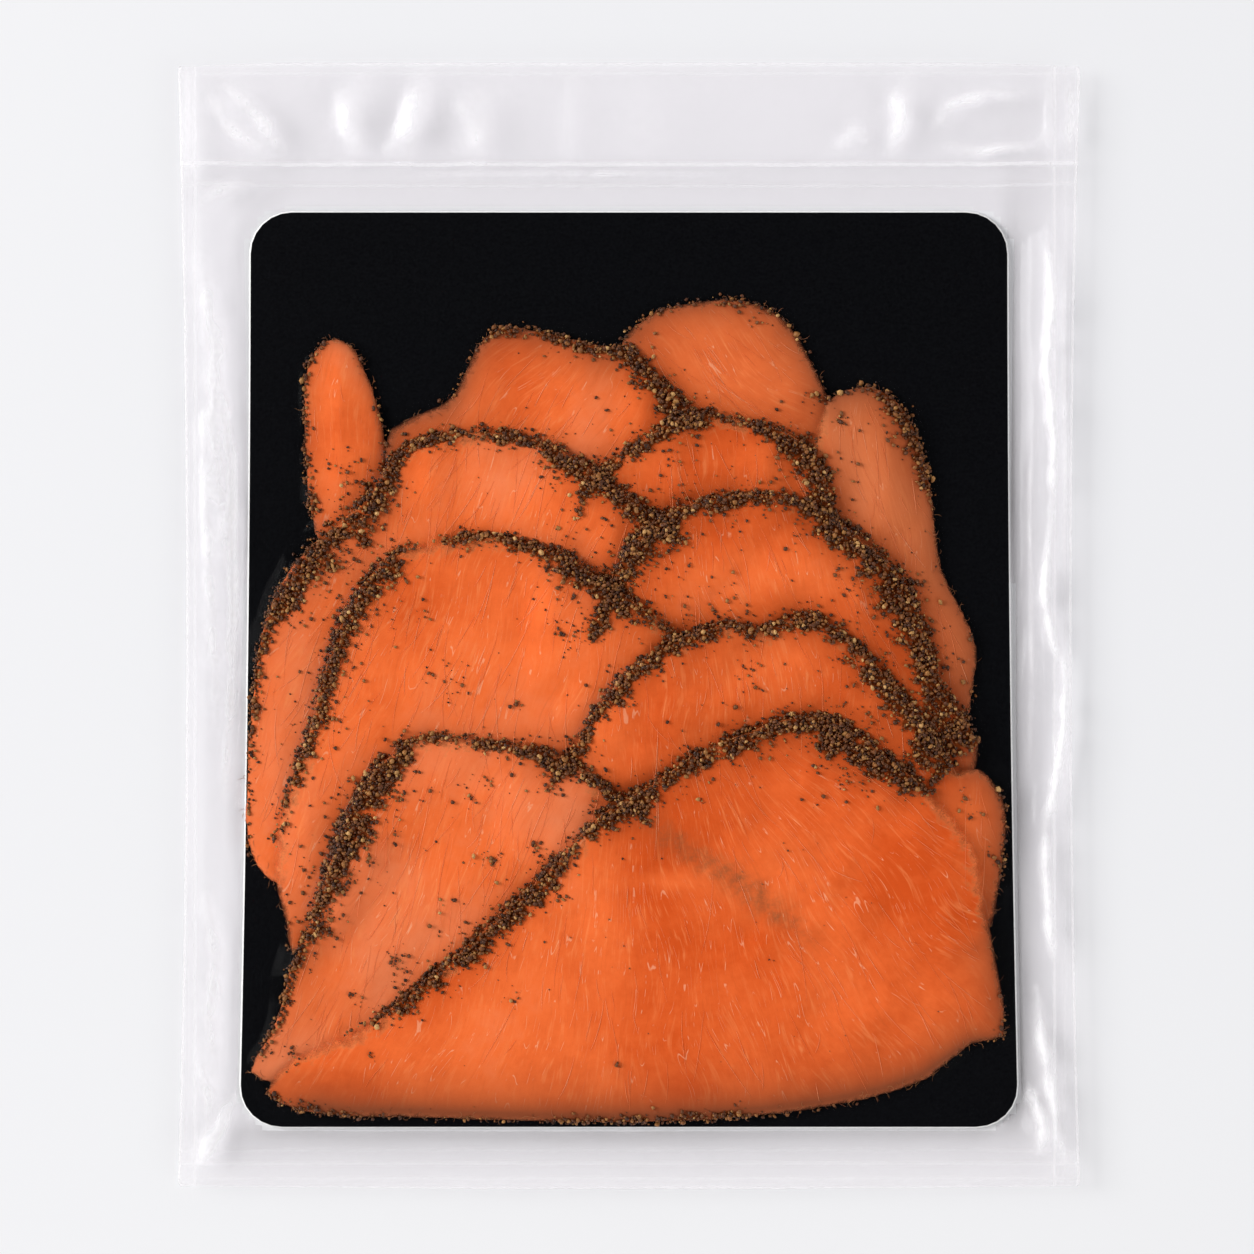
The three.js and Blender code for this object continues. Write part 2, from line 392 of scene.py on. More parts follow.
class Relief:
    """Heights of what lies in the pack, on an even grid, in millimetres."""

    def __init__(self, half_width: float, half_length: float, step: float = 1.0) -> None:
        """Starts with a bare floor.

        Args:
            half_width: How far the grid reaches along X, each way.
            half_length: How far it reaches along Y, each way.
            step: The distance between its points.
        """
        self.step = step
        self.low = np.array([-half_width, -half_length])
        self.shape = (int(2 * half_width / step) + 1, int(2 * half_length / step) + 1)
        self.heights = np.zeros(self.shape)

    def cells(self, places: np.ndarray) -> tuple[np.ndarray, np.ndarray]:
        """The grid point nearest to each place, as two lists of numbers."""
        found = np.round((places[:, :2] - self.low) / self.step).astype(int)
        return np.clip(found[:, 0], 0, self.shape[0] - 1), np.clip(found[:, 1], 0, self.shape[1] - 1)

    def nodes(self) -> np.ndarray:
        """The grid points, one row each."""
        x, y = np.meshgrid(*(np.arange(count) for count in self.shape), indexing="ij")
        return np.column_stack([x.ravel(), y.ravel()]) * self.step + self.low

    def raise_to(self, places: np.ndarray) -> None:
        """Raises the grid to points of a surface."""
        np.maximum.at(self.heights, self.cells(places), places[:, 2])

    def mend(self) -> None:
        """Fills pin holes, points that lie far below nearly all of their neighbours."""
        around = [
            np.roll(self.heights, (dx, dy), (0, 1))
            for dx in (-1, 0, 1) for dy in (-1, 0, 1) if dx or dy
        ]
        middle = np.median(around, axis=0)
        self.heights = np.where(self.heights < middle - 0.6, middle, self.heights)

    def tent(self, slope: float, reach: int) -> None:
        """Stretches a skin over the heights that falls away from them no steeper than a slope."""
        for _ in range(reach):
            for shift in ((1, 0), (-1, 0), (0, 1), (0, -1)):
                fallen = np.roll(self.heights, shift, (0, 1)) - slope * self.step
                self.heights = np.maximum(self.heights, fallen)

    def soften(self, turns: int) -> None:
        """Evens the heights out with their neighbours."""
        for _ in range(turns):
            for axis in (0, 1):
                near = np.roll(self.heights, 1, axis) + np.roll(self.heights, -1, axis)
                self.heights = self.heights / 2 + near / 4

    def at(self, places: np.ndarray) -> np.ndarray:
        """Reads the height at each place.

        Args:
            places: Points, one row each.

        Returns:
            The heights, blended between grid points.
        """
        spot = (places[:, :2] - self.low) / self.step
        spot = np.clip(spot, 0, np.array(self.shape) - 1.001)
        corner = spot.astype(int)
        x, y = (spot - corner).T
        i, j = corner.T
        h = self.heights
        near = h[i, j] * (1 - x) + h[i + 1, j] * x
        far = h[i, j + 1] * (1 - x) + h[i + 1, j + 1] * x
        return near * (1 - y) + far * y

    def copy(self) -> "Relief":
        """A second relief with the same heights."""
        other = Relief(-self.low[0], -self.low[1], self.step)
        other.heights = self.heights.copy()
        return other


# ---- Shader building ----


class Signal:
    """A node's output that can be used in arithmetic."""

    def __init__(self, bench: "Bench", socket: bpy.types.NodeSocket) -> None:
        """Wraps a socket of a bench's material."""
        self.bench = bench
        self.socket = socket

    def maths(self, operation: str, *others: Any) -> "Signal":
        """Adds a Math node.

        Args:
            operation: The node's operation.
            *others: Its other inputs, signals or numbers.

        Returns:
            The node's output.
        """
        return self.bench.maths(operation, self, *others)

    def __add__(self, other: Any) -> "Signal":
        """Sum."""
        return self.maths("ADD", other)

    def __radd__(self, other: Any) -> "Signal":
        """Sum, from the right."""
        return self.maths("ADD", other)

    def __sub__(self, other: Any) -> "Signal":
        """Difference."""
        return self.maths("SUBTRACT", other)

    def __rsub__(self, other: Any) -> "Signal":
        """Difference, from the right."""
        return self.bench.maths("SUBTRACT", other, self)

    def __mul__(self, other: Any) -> "Signal":
        """Product."""
        return self.maths("MULTIPLY", other)

    def __rmul__(self, other: Any) -> "Signal":
        """Product, from the right."""
        return self.maths("MULTIPLY", other)

    def __truediv__(self, other: Any) -> "Signal":
        """Quotient."""
        return self.maths("DIVIDE", other)

    def __pow__(self, other: Any) -> "Signal":
        """Power."""
        return self.maths("POWER", other)

    def __abs__(self) -> "Signal":
        """Size without its sign."""
        return self.maths("ABSOLUTE")

    def most(self, other: Any) -> "Signal":
        """The larger of two."""
        return self.maths("MAXIMUM", other)

    def least(self, other: Any) -> "Signal":
        """The smaller of two."""
        return self.maths("MINIMUM", other)


class Bench:
    """Builds one material's nodes."""

    def __init__(self, name: str) -> None:
        """Starts a material with an empty node tree."""
        self.material = bpy.data.materials.new(name)
        self.material.use_nodes = True
        self.tree = self.material.node_tree
        self.tree.nodes.clear()

    def node(self, kind: str, settings: dict[str, Any] | None = None,
             feeds: dict[Any, Any] | None = None) -> bpy.types.Node:
        """Adds a node.

        Args:
            kind: The node's type.
            settings: Its own settings, set first. stops fills a colour ramp.
            feeds: Values or signals for its sockets, by name or number.

        Returns:
            The node.
        """
        made = self.tree.nodes.new(kind)
        for name, value in (settings or {}).items():
            if name == "stops":
                self.fill_ramp(made.color_ramp, value)
            else:
                setattr(made, name, value)
        for name, value in (feeds or {}).items():
            socket = made.inputs[name]
            if isinstance(value, Signal):
                self.tree.links.new(value.socket, socket)
            else:
                socket.default_value = value
        return made

    @staticmethod
    def fill_ramp(ramp: bpy.types.ColorRamp, stops: Sequence[tuple[float, Colour]]) -> None:
        """Sets a colour ramp's stops."""
        while len(ramp.elements) > 1:
            ramp.elements.remove(ramp.elements[-1])
        ramp.elements[0].position, ramp.elements[0].color = stops[0]
        for position, shade in stops[1:]:
            ramp.elements.new(position).color = shade

    def out(self, made: bpy.types.Node, output: Any = 0) -> Signal:
        """A node's output as a signal."""
        return Signal(self, made.outputs[output])

    def maths(self, operation: str, *values: Any) -> Signal:
        """Adds a Math node and returns its output."""
        feeds = dict(enumerate(values))
        return self.out(self.node("ShaderNodeMath", {"operation": operation}, feeds))

    def attribute(self, name: str, output: str = "Fac") -> Signal:
        """Reads an attribute of the piece."""
        return self.out(self.node("ShaderNodeAttribute", {"attribute_name": name}), output)

    def position(self) -> Signal:
        """The place on the piece, in metres, in the pack's frame."""
        return self.out(self.node("ShaderNodeTexCoord"), "Object")

    def split(self, vector: Signal) -> tuple[Signal, Signal, Signal]:
        """A vector's three numbers."""
        made = self.node("ShaderNodeSeparateXYZ", None, {0: vector})
        return self.out(made, 0), self.out(made, 1), self.out(made, 2)

    def vector(self, x: Any, y: Any, z: Any) -> Signal:
        """A vector made of three numbers."""
        return self.out(self.node("ShaderNodeCombineXYZ", None, {0: x, 1: y, 2: z}))

    def noise(self, vector: Signal, scale: float, detail: float = 2.0, rough: float = 0.5,
              twist: float = 0.0) -> Signal:
        """A soft noise between 0 and 1."""
        feeds = {"Vector": vector, "Scale": scale, "Detail": detail, "Roughness": rough,
                 "Distortion": twist}
        return self.out(self.node("ShaderNodeTexNoise", None, feeds))

    def ease(self, value: Signal, low: Any, high: Any, start: float = 0.0, end: float = 1.0) -> Signal:
        """Rises smoothly from start at low to end at high."""
        feeds = {"Value": value, "From Min": low, "From Max": high, "To Min": start, "To Max": end}
        settings = {"interpolation_type": "SMOOTHSTEP", "clamp": True}
        return self.out(self.node("ShaderNodeMapRange", settings, feeds))

    def ramp(self, value: Signal, *stops: tuple[float, Colour]) -> Signal:
        """Turns a number into a colour."""
        return self.out(self.node("ShaderNodeValToRGB", {"stops": stops}, {0: value}))

    def blend(self, share: Any, first: Any, second: Any) -> Signal:
        """Mixes two colours."""
        made = self.node("ShaderNodeMix", {"data_type": "RGBA"}, {0: share, 6: first, 7: second})
        return self.out(made, 2)

    def bump(self, height: Signal, distance: float, strength: float) -> Signal:
        """Turns a height into a surface's normal; distance is in millimetres."""
        feeds = {"Height": height, "Distance": distance * MM, "Strength": strength}
        return self.out(self.node("ShaderNodeBump", None, feeds))

    def skin(self, feeds: dict[str, Any]) -> Signal:
        """A Principled surface."""
        return self.out(self.node("ShaderNodeBsdfPrincipled", None, feeds))

    def mix(self, share: Any, first: Signal, second: Signal) -> Signal:
        """Mixes two surfaces."""
        return self.out(self.node("ShaderNodeMixShader", None, {0: share, 1: first, 2: second}))

    def finish(self, surface: Signal) -> bpy.types.Material:
        """Sets the material's surface."""
        self.node("ShaderNodeOutputMaterial", None, {"Surface": surface})
        return self.material


class Finish:
    """A finish that is built once and then shared."""

    name = "plain"

    def __init__(self) -> None:
        """Builds the finish's material."""
        self.material = self.build(Bench(self.name))

    def build(self, bench: Bench) -> bpy.types.Material:
        """Builds the material's nodes; each finish has its own."""
        raise NotImplementedError


class FleshFinish(Finish):
    """Cured salmon: orange flesh with fine fibres, browned under the pepper, with painted shade round the
    pepper and on bare rims.
    """

    name = "salmon_flesh"
    pale = colour(236, 130, 84)
    middle = colour(236, 109, 53)
    deep = colour(206, 80, 30)
    dull = colour(202, 118, 74)
    fibre = colour(247, 150, 92)
    hair = colour(250, 190, 150)
    # Brown of the darker fibres, and of the painted shade round the pepper.
    fibre_and_shade_brown = colour(168, 70, 30)
    edge = colour(132, 68, 42)
    mush = colour(106, 48, 16)
    veiled = colour(126, 80, 50)
    rim = colour(188, 116, 80)

    def build(self, bench: Bench) -> bpy.types.Material:
        """Builds the flesh.

        Args:
            bench: The bench of this material.

        Returns:
            The material.
        """
        place = bench.position()
        grain = bench.attribute("grain", "Vector")
        along, across, _ = bench.split(grain)
        patches = bench.noise(place, 48, 2, 0.55)
        mottle = bench.noise(place, 330, 2, 0.6)
        broad = bench.noise(place, 17, 1, 0.5)
        tone = bench.attribute("tone") + (broad - 0.5) * 1.6 + (patches - 0.5) * 1.5 + (mottle - 0.5) * 0.7
        shade = bench.ramp(tone * 0.5 + 0.5, (0.0, self.pale), (0.5, self.middle), (1.0, self.deep))
        shade = bench.blend(bench.attribute("dull"), shade, self.dull)

        threads = bench.noise(bench.vector(along * 0.09, across * 0.62, 0.0), 1.0, 2, 0.6, 0.9)
        fine = bench.noise(bench.vector(along * 0.26, across * 2.6, 3.0), 1.0, 1, 0.5, 0.6)
        weave = threads * 0.75 + fine * 0.25
        light = bench.ease(weave, 0.5, 0.72) * bench.ease(patches, 0.35, 0.65, 0.3, 1.0)
        dark = bench.ease(weave, 0.46, 0.28)
        shade = bench.blend(light * 0.42, shade, self.fibre)
        shade = bench.blend(dark * 0.16, shade, self.fibre_and_shade_brown)
        wisp = bench.noise(bench.vector(along * 0.035, across * 0.32, 8.0), 1.0, 1, 0.55, 0.6)
        thread = bench.ease(abs(wisp - 0.5), 0.009, 0.002) * bench.ease(mottle, 0.48, 0.6)
        shade = bench.blend(thread * 0.4, shade, self.hair)

        # Painted shade round the pepper bands, stronger on the right-hand slices.
        painted_crust_shade = bench.attribute("painted_crust_shade") * bench.ease(patches + mottle * 0.5, 0.45, 0.95, 0.7, 1.0)
        shade = bench.blend(painted_crust_shade.least(1.0) * 0.74, shade, self.fibre_and_shade_brown)
        # Bare rims on the black card turn dark where the thin flesh lets the card show, and carry painted
        # shade: lighter on the left, darkest along the bottom.
        shade = bench.blend(bench.attribute("thin"), shade, self.edge)
        crumbs = bench.noise(place, 1100, 2, 0.65)
        mush = bench.ease(bench.attribute("mush") + (crumbs - 0.5) * 0.9, 0.34, 0.62)
        shade = bench.blend(mush * 0.9, shade, self.mush)
        veil = bench.attribute("veil") * bench.ease(crumbs, 0.35, 0.65, 0.6, 1.0)
        shade = bench.blend(veil, shade, self.veiled)
        feeds = {
            "Roughness": bench.ease(mottle, 0.3, 0.7, 0.46, 0.6),
            "Specular IOR Level": 0.0,
            "Normal": bench.bump(mottle, 0.2, 0.35),
        }
        return bench.finish(bench.skin(feeds | self.thin_out(bench, shade, threads)))

    def thin_out(self, bench: Bench, shade: Signal, threads: Signal) -> dict[str, Signal]:
        """The colour and cover of flesh that is thick enough to hide what is under it."""
        return {"Base Color": shade}


class RimFinish(FleshFinish):
    """The same flesh where it thins out towards a rim and lets what is under it show."""

    name = "salmon_rim"
    painted_lap_light = colour(255, 156, 96)

    def thin_out(self, bench: Bench, shade: Signal, threads: Signal) -> dict[str, Signal]:
        """Fades the flesh towards its rim, in a ragged line that follows the fibres.

        Args:
            bench: The bench of this material.
            shade: The flesh's colour.
            threads: The pattern of its fibres.

        Returns:
            The colour and the alpha.
        """
        depth = bench.attribute("rim")
        soft = bench.attribute("soft")
        ragged = bench.noise(bench.position(), 380, 3, 0.68)
        reach = soft * (ragged * 1.9 + threads * 0.5 - 0.35)
        body = bench.ease(depth, reach * 0.04, reach.most(0.25))
        bare = bench.attribute("bare")
        thin = bench.ease(depth, 0.0, soft * 1.1, 1.0, 0.0) * bare
        # Where a rim lies partly clear over another slice it is painted lighter, to make up for the shade it
        # casts through itself onto the slice below.
        lap = body * (1.0 - body) * (1.0 - bare) * 1.3
        shade = bench.blend(thin * 0.3, shade, self.rim)
        return {"Base Color": bench.blend(lap, shade, self.painted_lap_light), "Alpha": body}


class PepperFinish(Finish):
    """Cracked pepper: dark wrinkled skins, olive and brown cracked sides and pale hearts."""

    name = "cracked_pepper"

    def build(self, bench: Bench) -> bpy.types.Material:
        """Builds the pepper.

        Args:
            bench: The bench of this material.

        Returns:
            The material.
        """
        place = bench.position()
        speck = bench.noise(place, 2600, 3, 0.6)
        tint = bench.attribute("tint") + (speck - 0.5) * 0.42
        shade = bench.ramp(
            tint,
            (0.0, colour(47, 22, 6)),
            (0.35, colour(92, 49, 19)),
            (0.6, colour(132, 81, 36)),
            (0.8, colour(160, 112, 58)),
            (1.0, colour(200, 158, 100)),
        )
        return bench.finish(bench.skin({
            "Base Color": shade,
            "Roughness": bench.ease(speck, 0.35, 0.65, 0.42, 0.62),
            "Specular IOR Level": 0.3,
            "Normal": bench.bump(speck, 0.15, 0.4),
        }))


class StrandFinish(Finish):
    """Fine pale strands of connective tissue on the flesh."""

    name = "pale_strand"

    def build(self, bench: Bench) -> bpy.types.Material:
        """Builds the strands.

        Args:
            bench: The bench of this material.

        Returns:
            The material.
        """
        tint = bench.attribute("tint")
        shade = bench.ramp(tint, (0.0, colour(232, 122, 66)), (0.4, colour(240, 150, 100)),
                           (0.7, colour(244, 178, 136)), (0.75, colour(120, 72, 44)),
                           (1.0, colour(176, 132, 86)))
        wear = bench.noise(bench.position(), 900, 2, 0.5)
        return bench.finish(bench.skin({
            "Base Color": bench.blend(wear * 0.3, shade, colour(214, 96, 46)),
            "Roughness": 0.5,
            "Specular IOR Level": 0.2,
        }))


class CardFinish(Finish):
    """Black printed card with a white core that shows along its cut edge."""

    name = "black_card"

    def build(self, bench: Bench) -> bpy.types.Material:
        """Builds the card.

        Args:
            bench: The bench of this material.

        Returns:
            The material.
        """
        top = float(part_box("card")[1].z)
        place = bench.position()
        _, _, height = bench.split(place)
        pulp = bench.noise(place, 1500, 3, 0.6)
        print_face = bench.ease(height, top - 0.00012, top - 0.00004)
        black = bench.ramp(pulp, (0.3, colour(3, 3, 5)), (0.7, colour(8, 9, 12)))
        white = bench.ramp(pulp, (0.3, colour(222, 222, 220)), (0.7, colour(240, 240, 238)))
        return bench.finish(bench.skin({
            "Base Color": bench.blend(print_face, white, black),
            "Roughness": bench.ease(pulp, 0.3, 0.7, 0.5, 0.62),
            "Specular IOR Level": 0.05,
            "Normal": bench.bump(pulp, 0.04, 0.25),
        }))


class TightFilmFinish(Finish):
    """Clear film drawn tight over the contents, so that next to nothing shows of it."""

    name = "clear_film_tight"
    tint = (0.997, 0.997, 0.998, 1.0)
    gloss = 0.0006
    glance = 0.25

    def build(self, bench: Bench) -> bpy.types.Material:
        """Builds the tight film.

        Args:
            bench: The bench of this material.

        Returns:
            The material.
        """
        clear = bench.out(bench.node("ShaderNodeBsdfTransparent", None, {0: self.tint}))
        shine = bench.skin({"Base Color": (1.0, 1.0, 1.0, 1.0), "Metallic": 1.0, "Roughness": 0.12})
        facing = bench.out(bench.node("ShaderNodeLayerWeight", None, {"Blend": 0.5}), "Facing")
        return bench.finish(bench.mix((facing ** 6.0) * self.glance + self.gloss, clear, shine))


class FilmFinish(Finish):
    """Clear glossy laminate, faintly white, with painted highlights on its folds, painted grey shade round
    the card and white along its welds.
    """

    name = "clear_film"
    tint = (0.998, 0.991, 0.996, 1.0)
    seams_across = ((118.4, 0.30, 0.26), (113.0, 0.22, 0.1), (141.2, 0.2, 0.05), (-134.5, 0.2, 0.06),
                    (-137.6, 0.25, 0.1), (-141.4, 0.2, 0.06))
    seams_along = ((-111.0, 0.25, 0.1), (108.9, 0.25, 0.15), (-113.2, 0.2, 0.03), (111.6, 0.2, 0.04))

    def build(self, bench: Bench) -> bpy.types.Material:
        """Builds the slack film.

        Args:
            bench: The bench of this material.

        Returns:
            The material.
        """
        place = bench.position()
        x, y, _ = bench.split(place)
        streak = bench.noise(place, 160, 2, 0.6)
        edge_x = x * 1000 + (streak - 0.5) * 0.8
        edge_y = y * 1000 + (streak - 0.5) * 0.8
        welds = None
        for value, lines in ((edge_y, self.seams_across), (edge_x, self.seams_along)):
            for middle, half, strength in lines:
                line = bench.ease(abs(value - middle), half, half + 0.35, strength, 0.0)
                welds = line if welds is None else welds.most(line)
        margin = bench.attribute("margin")
        haze_and_highlight = bench.attribute("haze_and_highlight")
        grey = bench.attribute("grey")
        # The white veil: faint real whiteness, painted highlights on the folds, the welds, and the painted
        # grey shade.
        milk_and_highlight = (haze_and_highlight * bench.ease(streak, 0.3, 0.75, 0.75, 1.25) + welds * margin * 0.8 + grey).least(0.9)
        normal = bench.bump(bench.noise(place, 420, 1, 0.6), 0.14, 0.3)
        # The veil is painted grey where it stands for shade, white elsewhere.
        paint = bench.blend(grey / (milk_and_highlight + 0.001), colour(253, 252, 253), colour(112, 108, 108))
        veil_white_and_shade = bench.skin({"Base Color": paint, "Roughness": 0.5, "Specular IOR Level": 0.0})
        gloss = bench.skin({
            "Base Color": (1.0, 1.0, 1.0, 1.0), "Metallic": 1.0, "Roughness": 0.09, "Normal": normal,
        })
        clear = bench.out(bench.node("ShaderNodeBsdfTransparent", None, {0: self.tint}))
        facing = bench.out(bench.node("ShaderNodeLayerWeight", None, {"Blend": 0.5}), "Facing")
        mirror = (facing ** 4.0) * 0.4 + 0.006
        return bench.finish(bench.mix(mirror, bench.mix(milk_and_highlight, clear, veil_white_and_shade), gloss))


class FloorFinish(Finish):
    """A plain pale floor."""

    name = "pale_floor"

    def build(self, bench: Bench) -> bpy.types.Material:
        """Builds the floor.

        Args:
            bench: The bench of this material.

        Returns:
            The material.
        """
        mild = bench.noise(bench.position(), 3, 0, 0.5)
        shade = bench.ramp(mild, (0.3, colour(230, 230, 232)), (0.7, colour(232, 232, 233)))
        return bench.finish(bench.skin({
            "Base Color": shade, "Roughness": 0.9, "Specular IOR Level": 0.05,
        }))


# ---- Slices ----

Station = tuple[float, float, float, float]


@dataclass
class Crust:
    """A band of pepper along a stretch of a slice's outline.

    Each station is a place on the outline, with the band's width there and how closely it is covered.
    """

    stations: tuple[Station, ...]

    def line(self, outline: Outline, step: float = 0.5) -> tuple[np.ndarray, np.ndarray]:
        """Lays the band along an outline.

        Args:
            outline: The slice's outline.
            step: The distance between points along the band.

        Returns:
            The points, and for each the inward direction, the width and the cover, one row each.
        """
        marks = np.array(self.stations)
        points = outline.stretch(tuple(marks[0, :2]), tuple(marks[-1, :2]), step)
        where = [int(np.argmin(np.linalg.norm(points - mark[:2], axis=1))) for mark in marks]
        where = np.maximum.accumulate(where)
        ahead = np.gradient(points, axis=0)
        ahead /= np.linalg.norm(ahead, axis=1)[:, None] + 1e-9
        run = np.arange(len(points))
        width = np.interp(run, where, marks[:, 2])
        cover = np.interp(run, where, marks[:, 3])
        return points, np.column_stack([ahead[:, 1], -ahead[:, 0], width, cover])


@dataclass
class Slice:
    """One slice of salmon.

    node is its solid, fan the point that its fibres run towards, tone its colour from -1, pale, to 1,
    deep, and rims the pepper bands on its edge. strands is how many long strands lie on it, dull how
    brownish its flesh is, and each of lenses is an oval patch of another tone: its middle, its two
    radii and how much deeper it is. Its rim thins out over a width of fade on the card, of lap on
    another slice and of held under pepper, and edge_shade is how far in a bare rim is darker.
    """

    node: str
    fan: Pair
    tone: float
    rims: tuple[Crust, ...]
    strands: int = 40
    fade: float = 2.6
    dull: float = 0.0
    lenses: tuple[tuple[float, float, float, float, float], ...] = ()
    outline: Outline = field(init=False)
    piece: bpy.types.Object = field(init=False)

    voxel: float = 0.85
    relax: int = 9
    wave: float = 0.55
    wave_size: float = 17.0
    lap: float = 5.5
    held: float = 0.7
    grip: float = 1.6
    edge_shade: float = 6.0
    deepest: float = 40.0
    rim_zone: float = 22.0
    lap_change: Pair = (7.0, 0.5)
    tone_swing: float = 0.3

    def __post_init__(self) -> None:
        """Finds the slice's outline on its solid."""
        self.outline = Outline.around(self.node)

    def model(self) -> None:
        """Turns the slice's solid into soft flesh with waves and a rounded rim."""
        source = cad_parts[self.node]
        self.piece = bpy.data.objects.new(self.node.replace("slice", "salmon"), source.data.copy())
        bpy.context.scene.collection.objects.link(self.piece)
        Hands.take(self.piece)
        bpy.ops.object.mode_set(mode="EDIT")
        bpy.ops.mesh.select_all(action="SELECT")
        bpy.ops.mesh.remove_doubles(threshold=2e-6)
        bpy.ops.object.mode_set(mode="OBJECT")
        Hands.press(self.piece, "REMESH", mode="VOXEL", voxel_size=self.voxel * MM, adaptivity=0.0)
        Hands.press(self.piece, "SMOOTH", factor=0.5, iterations=self.relax)
        Hands.press(
            self.piece, "DISPLACE", texture=Slice.waves(self.wave_size), texture_coords="GLOBAL",
            direction="Z", strength=self.wave * MM, mid_level=0.5,
        )
        Hands.smooth(self.piece)

    @staticmethod
    def waves(size: float) -> bpy.types.Texture:
        """The one soft pattern of waves that all slices share, so that they stay clear of each other."""
        found = bpy.data.textures.get("flesh_waves")
        if found is None:
            found = bpy.data.textures.new("flesh_waves", "CLOUDS")
            found.noise_scale = size * MM
            found.noise_depth = 2
        return found

    def grain(self, places: np.ndarray) -> np.ndarray:
        """Where places lie in the run of the fibres: along them, across them and up."""
        offset = places[:, :2] - np.array(self.fan)
        radius = np.linalg.norm(offset, axis=1)
        turn = np.arctan2(offset[:, 1], offset[:, 0])
        turn = np.where(turn > math.pi / 2, turn - 2 * math.pi, turn)
        typical = float(np.median(radius))
        bend = 2.5 * ripple(places, 60, self.fan[0])
        return np.column_stack([radius, turn * typical + bend, places[:, 2] * 0.3])

    def heading(self, place: np.ndarray) -> np.ndarray:
        """The fibres' direction at a place."""
        away_from_fan = place - np.array(self.fan)
        return away_from_fan / (np.linalg.norm(away_from_fan) + 1e-9)

    def over_card(self, places: np.ndarray, below: Iterable["Slice"], early: float = 0.5,
                  late: float = 1.5) -> np.ndarray:
        """Where no other slice lies beneath, so that the card shows through a thin rim.

        Args:
            places: The places to look at.
            below: The slices that lie under this one.
            early: How far inside a lower slice's outline the change begins.
            late: How far outside it the change ends.

        Returns:
            From 0, over a slice, to 1, over the card.
        """
        bare = np.ones(len(places))
        for other in below:
            bare = np.minimum(bare, ease(-other.outline.depth(places), -early, late))
        return bare

    def dress(self, finishes: tuple[Finish, Finish], below: Sequence["Slice"], stains_and_shade: "StainsAndShade") -> None:
        """Stores what the flesh's finishes read, and dresses the slice.

        Args:
            finishes: The finish of thick flesh, and that of its thin rim.
            below: The slices that lie under this one.
            stains_and_shade: Where pepper lies, and the painted shade round it.
        """
        places = Hands.places(self.piece)
        depth = np.clip(self.outline.depth(places), 0, self.deepest)
        near = depth < self.rim_zone
        bare = np.zeros(len(places))
        bare[near] = self.over_card(places[near], below, *self.lap_change)
        held = np.clip(stains_and_shade.near.at(places) * self.grip, 0, 1)
        soft = (self.lap * (1 - bare) + self.fade * bare) * (1 - held) + self.held * held
        tone = self.tone + self.tone_swing * ripple(places, 70, self.fan[1]) + self.shift(places)
        values = {
            "grain": self.grain(places), "rim": depth, "bare": bare, "soft": soft, "tone": tone,
            "dull": np.full(len(places), self.dull), "veil": self.veil(places),
            # Painted shade round the pepper, stronger on the right.
            "mush": stains_and_shade.near.at(places), "painted_crust_shade": stains_and_shade.wide.at(places) * Slice.painted_shade_gain(places),
            # Bare rims darker where the card shows through the thin flesh, times their painted shade.
            "thin": np.clip(bare * np.exp(-depth / self.edge_shade) * Slice.painted_rim_shade(places), 0, 1),
        }
        for name, value in values.items():
            Hands.tag(self.piece, name, value)
        thick, thin = finishes
        Hands.hand_over(self.piece, thick, "flesh", self.node)
        Hands.second(self.piece, thin, depth < soft * 2.0 + 0.6)

    @staticmethod
    def painted_shade_gain(places: np.ndarray) -> np.ndarray:
        """How strong the painted shade round the pepper is: more on the right than on the left."""
        return 0.75 + 0.6 * ease(places[:, 0], -30, 20)

    @staticmethod
    def painted_rim_shade(places: np.ndarray) -> np.ndarray:
        """How dark the painted shade on a bare rim is: pale on the left, darkest along the bottom."""
        return 1 - 0.85 * ease(-places[:, 0], 78, 92) + 0.5 * ease(-places[:, 1], 96, 118)

    def shift(self, places: np.ndarray) -> np.ndarray:
        """How much deeper the colour is at each place than the slice's own tone."""
        total = np.zeros(len(places))
        for x, y, across, high, amount in self.lenses:
            spread = ((places[:, 0] - x) / across) ** 2 + ((places[:, 1] - y) / high) ** 2
            total += amount * np.exp(-spread)
        return total

    def veil(self, places: np.ndarray) -> np.ndarray:
        """How clearly pepper under the slice shows through it at each place."""
        return np.zeros(len(places))


@dataclass
class FrontSlice(Slice):
    """The slice on top, with a muscle seam down its middle and the crust of its neighbour showing through."""

    seam: tuple[Pair, ...] = ((-1.5, -60), (-1, -80), (-2, -105), (-2, -128))
    hidden: tuple[Pair, ...] = ((4, -49), (10, -54), (18, -59), (26, -64), (34, -70), (41, -75), (50, -84))

    def shift(self, places: np.ndarray) -> np.ndarray:
        """Paler to the left of the seam and deeper to its right."""
        line = np.array(self.seam)
        seam_x = np.interp(-places[:, 1], -line[:, 1], line[:, 0])
        below_top = ease(-places[:, 1], 58, 72)
        side = np.tanh((places[:, 0] - seam_x) / 3.5)
        fade = np.exp(-np.abs(places[:, 0] - seam_x) / 34)
        return super().shift(places) + 0.16 * side * fade * below_top

    def veil(self, places: np.ndarray) -> np.ndarray:
        """The neighbour's crust, seen dimly through this slice until it fades."""
        gap, run = away(places, self.hidden)
        gap = gap + 0.9 * ripple(places, 9, 2.0)
        body = np.exp(-((gap / 3.4) ** 2))
        dark = np.interp(run, [0, 0.12, 0.3, 0.6, 0.8, 1.0], [0.15, 0.55, 0.62, 0.78, 0.45, 0.0])
        return body * dark * (0.8 + 0.3 * ripple(places, 7, 5.0))


# ---- Pepper ----


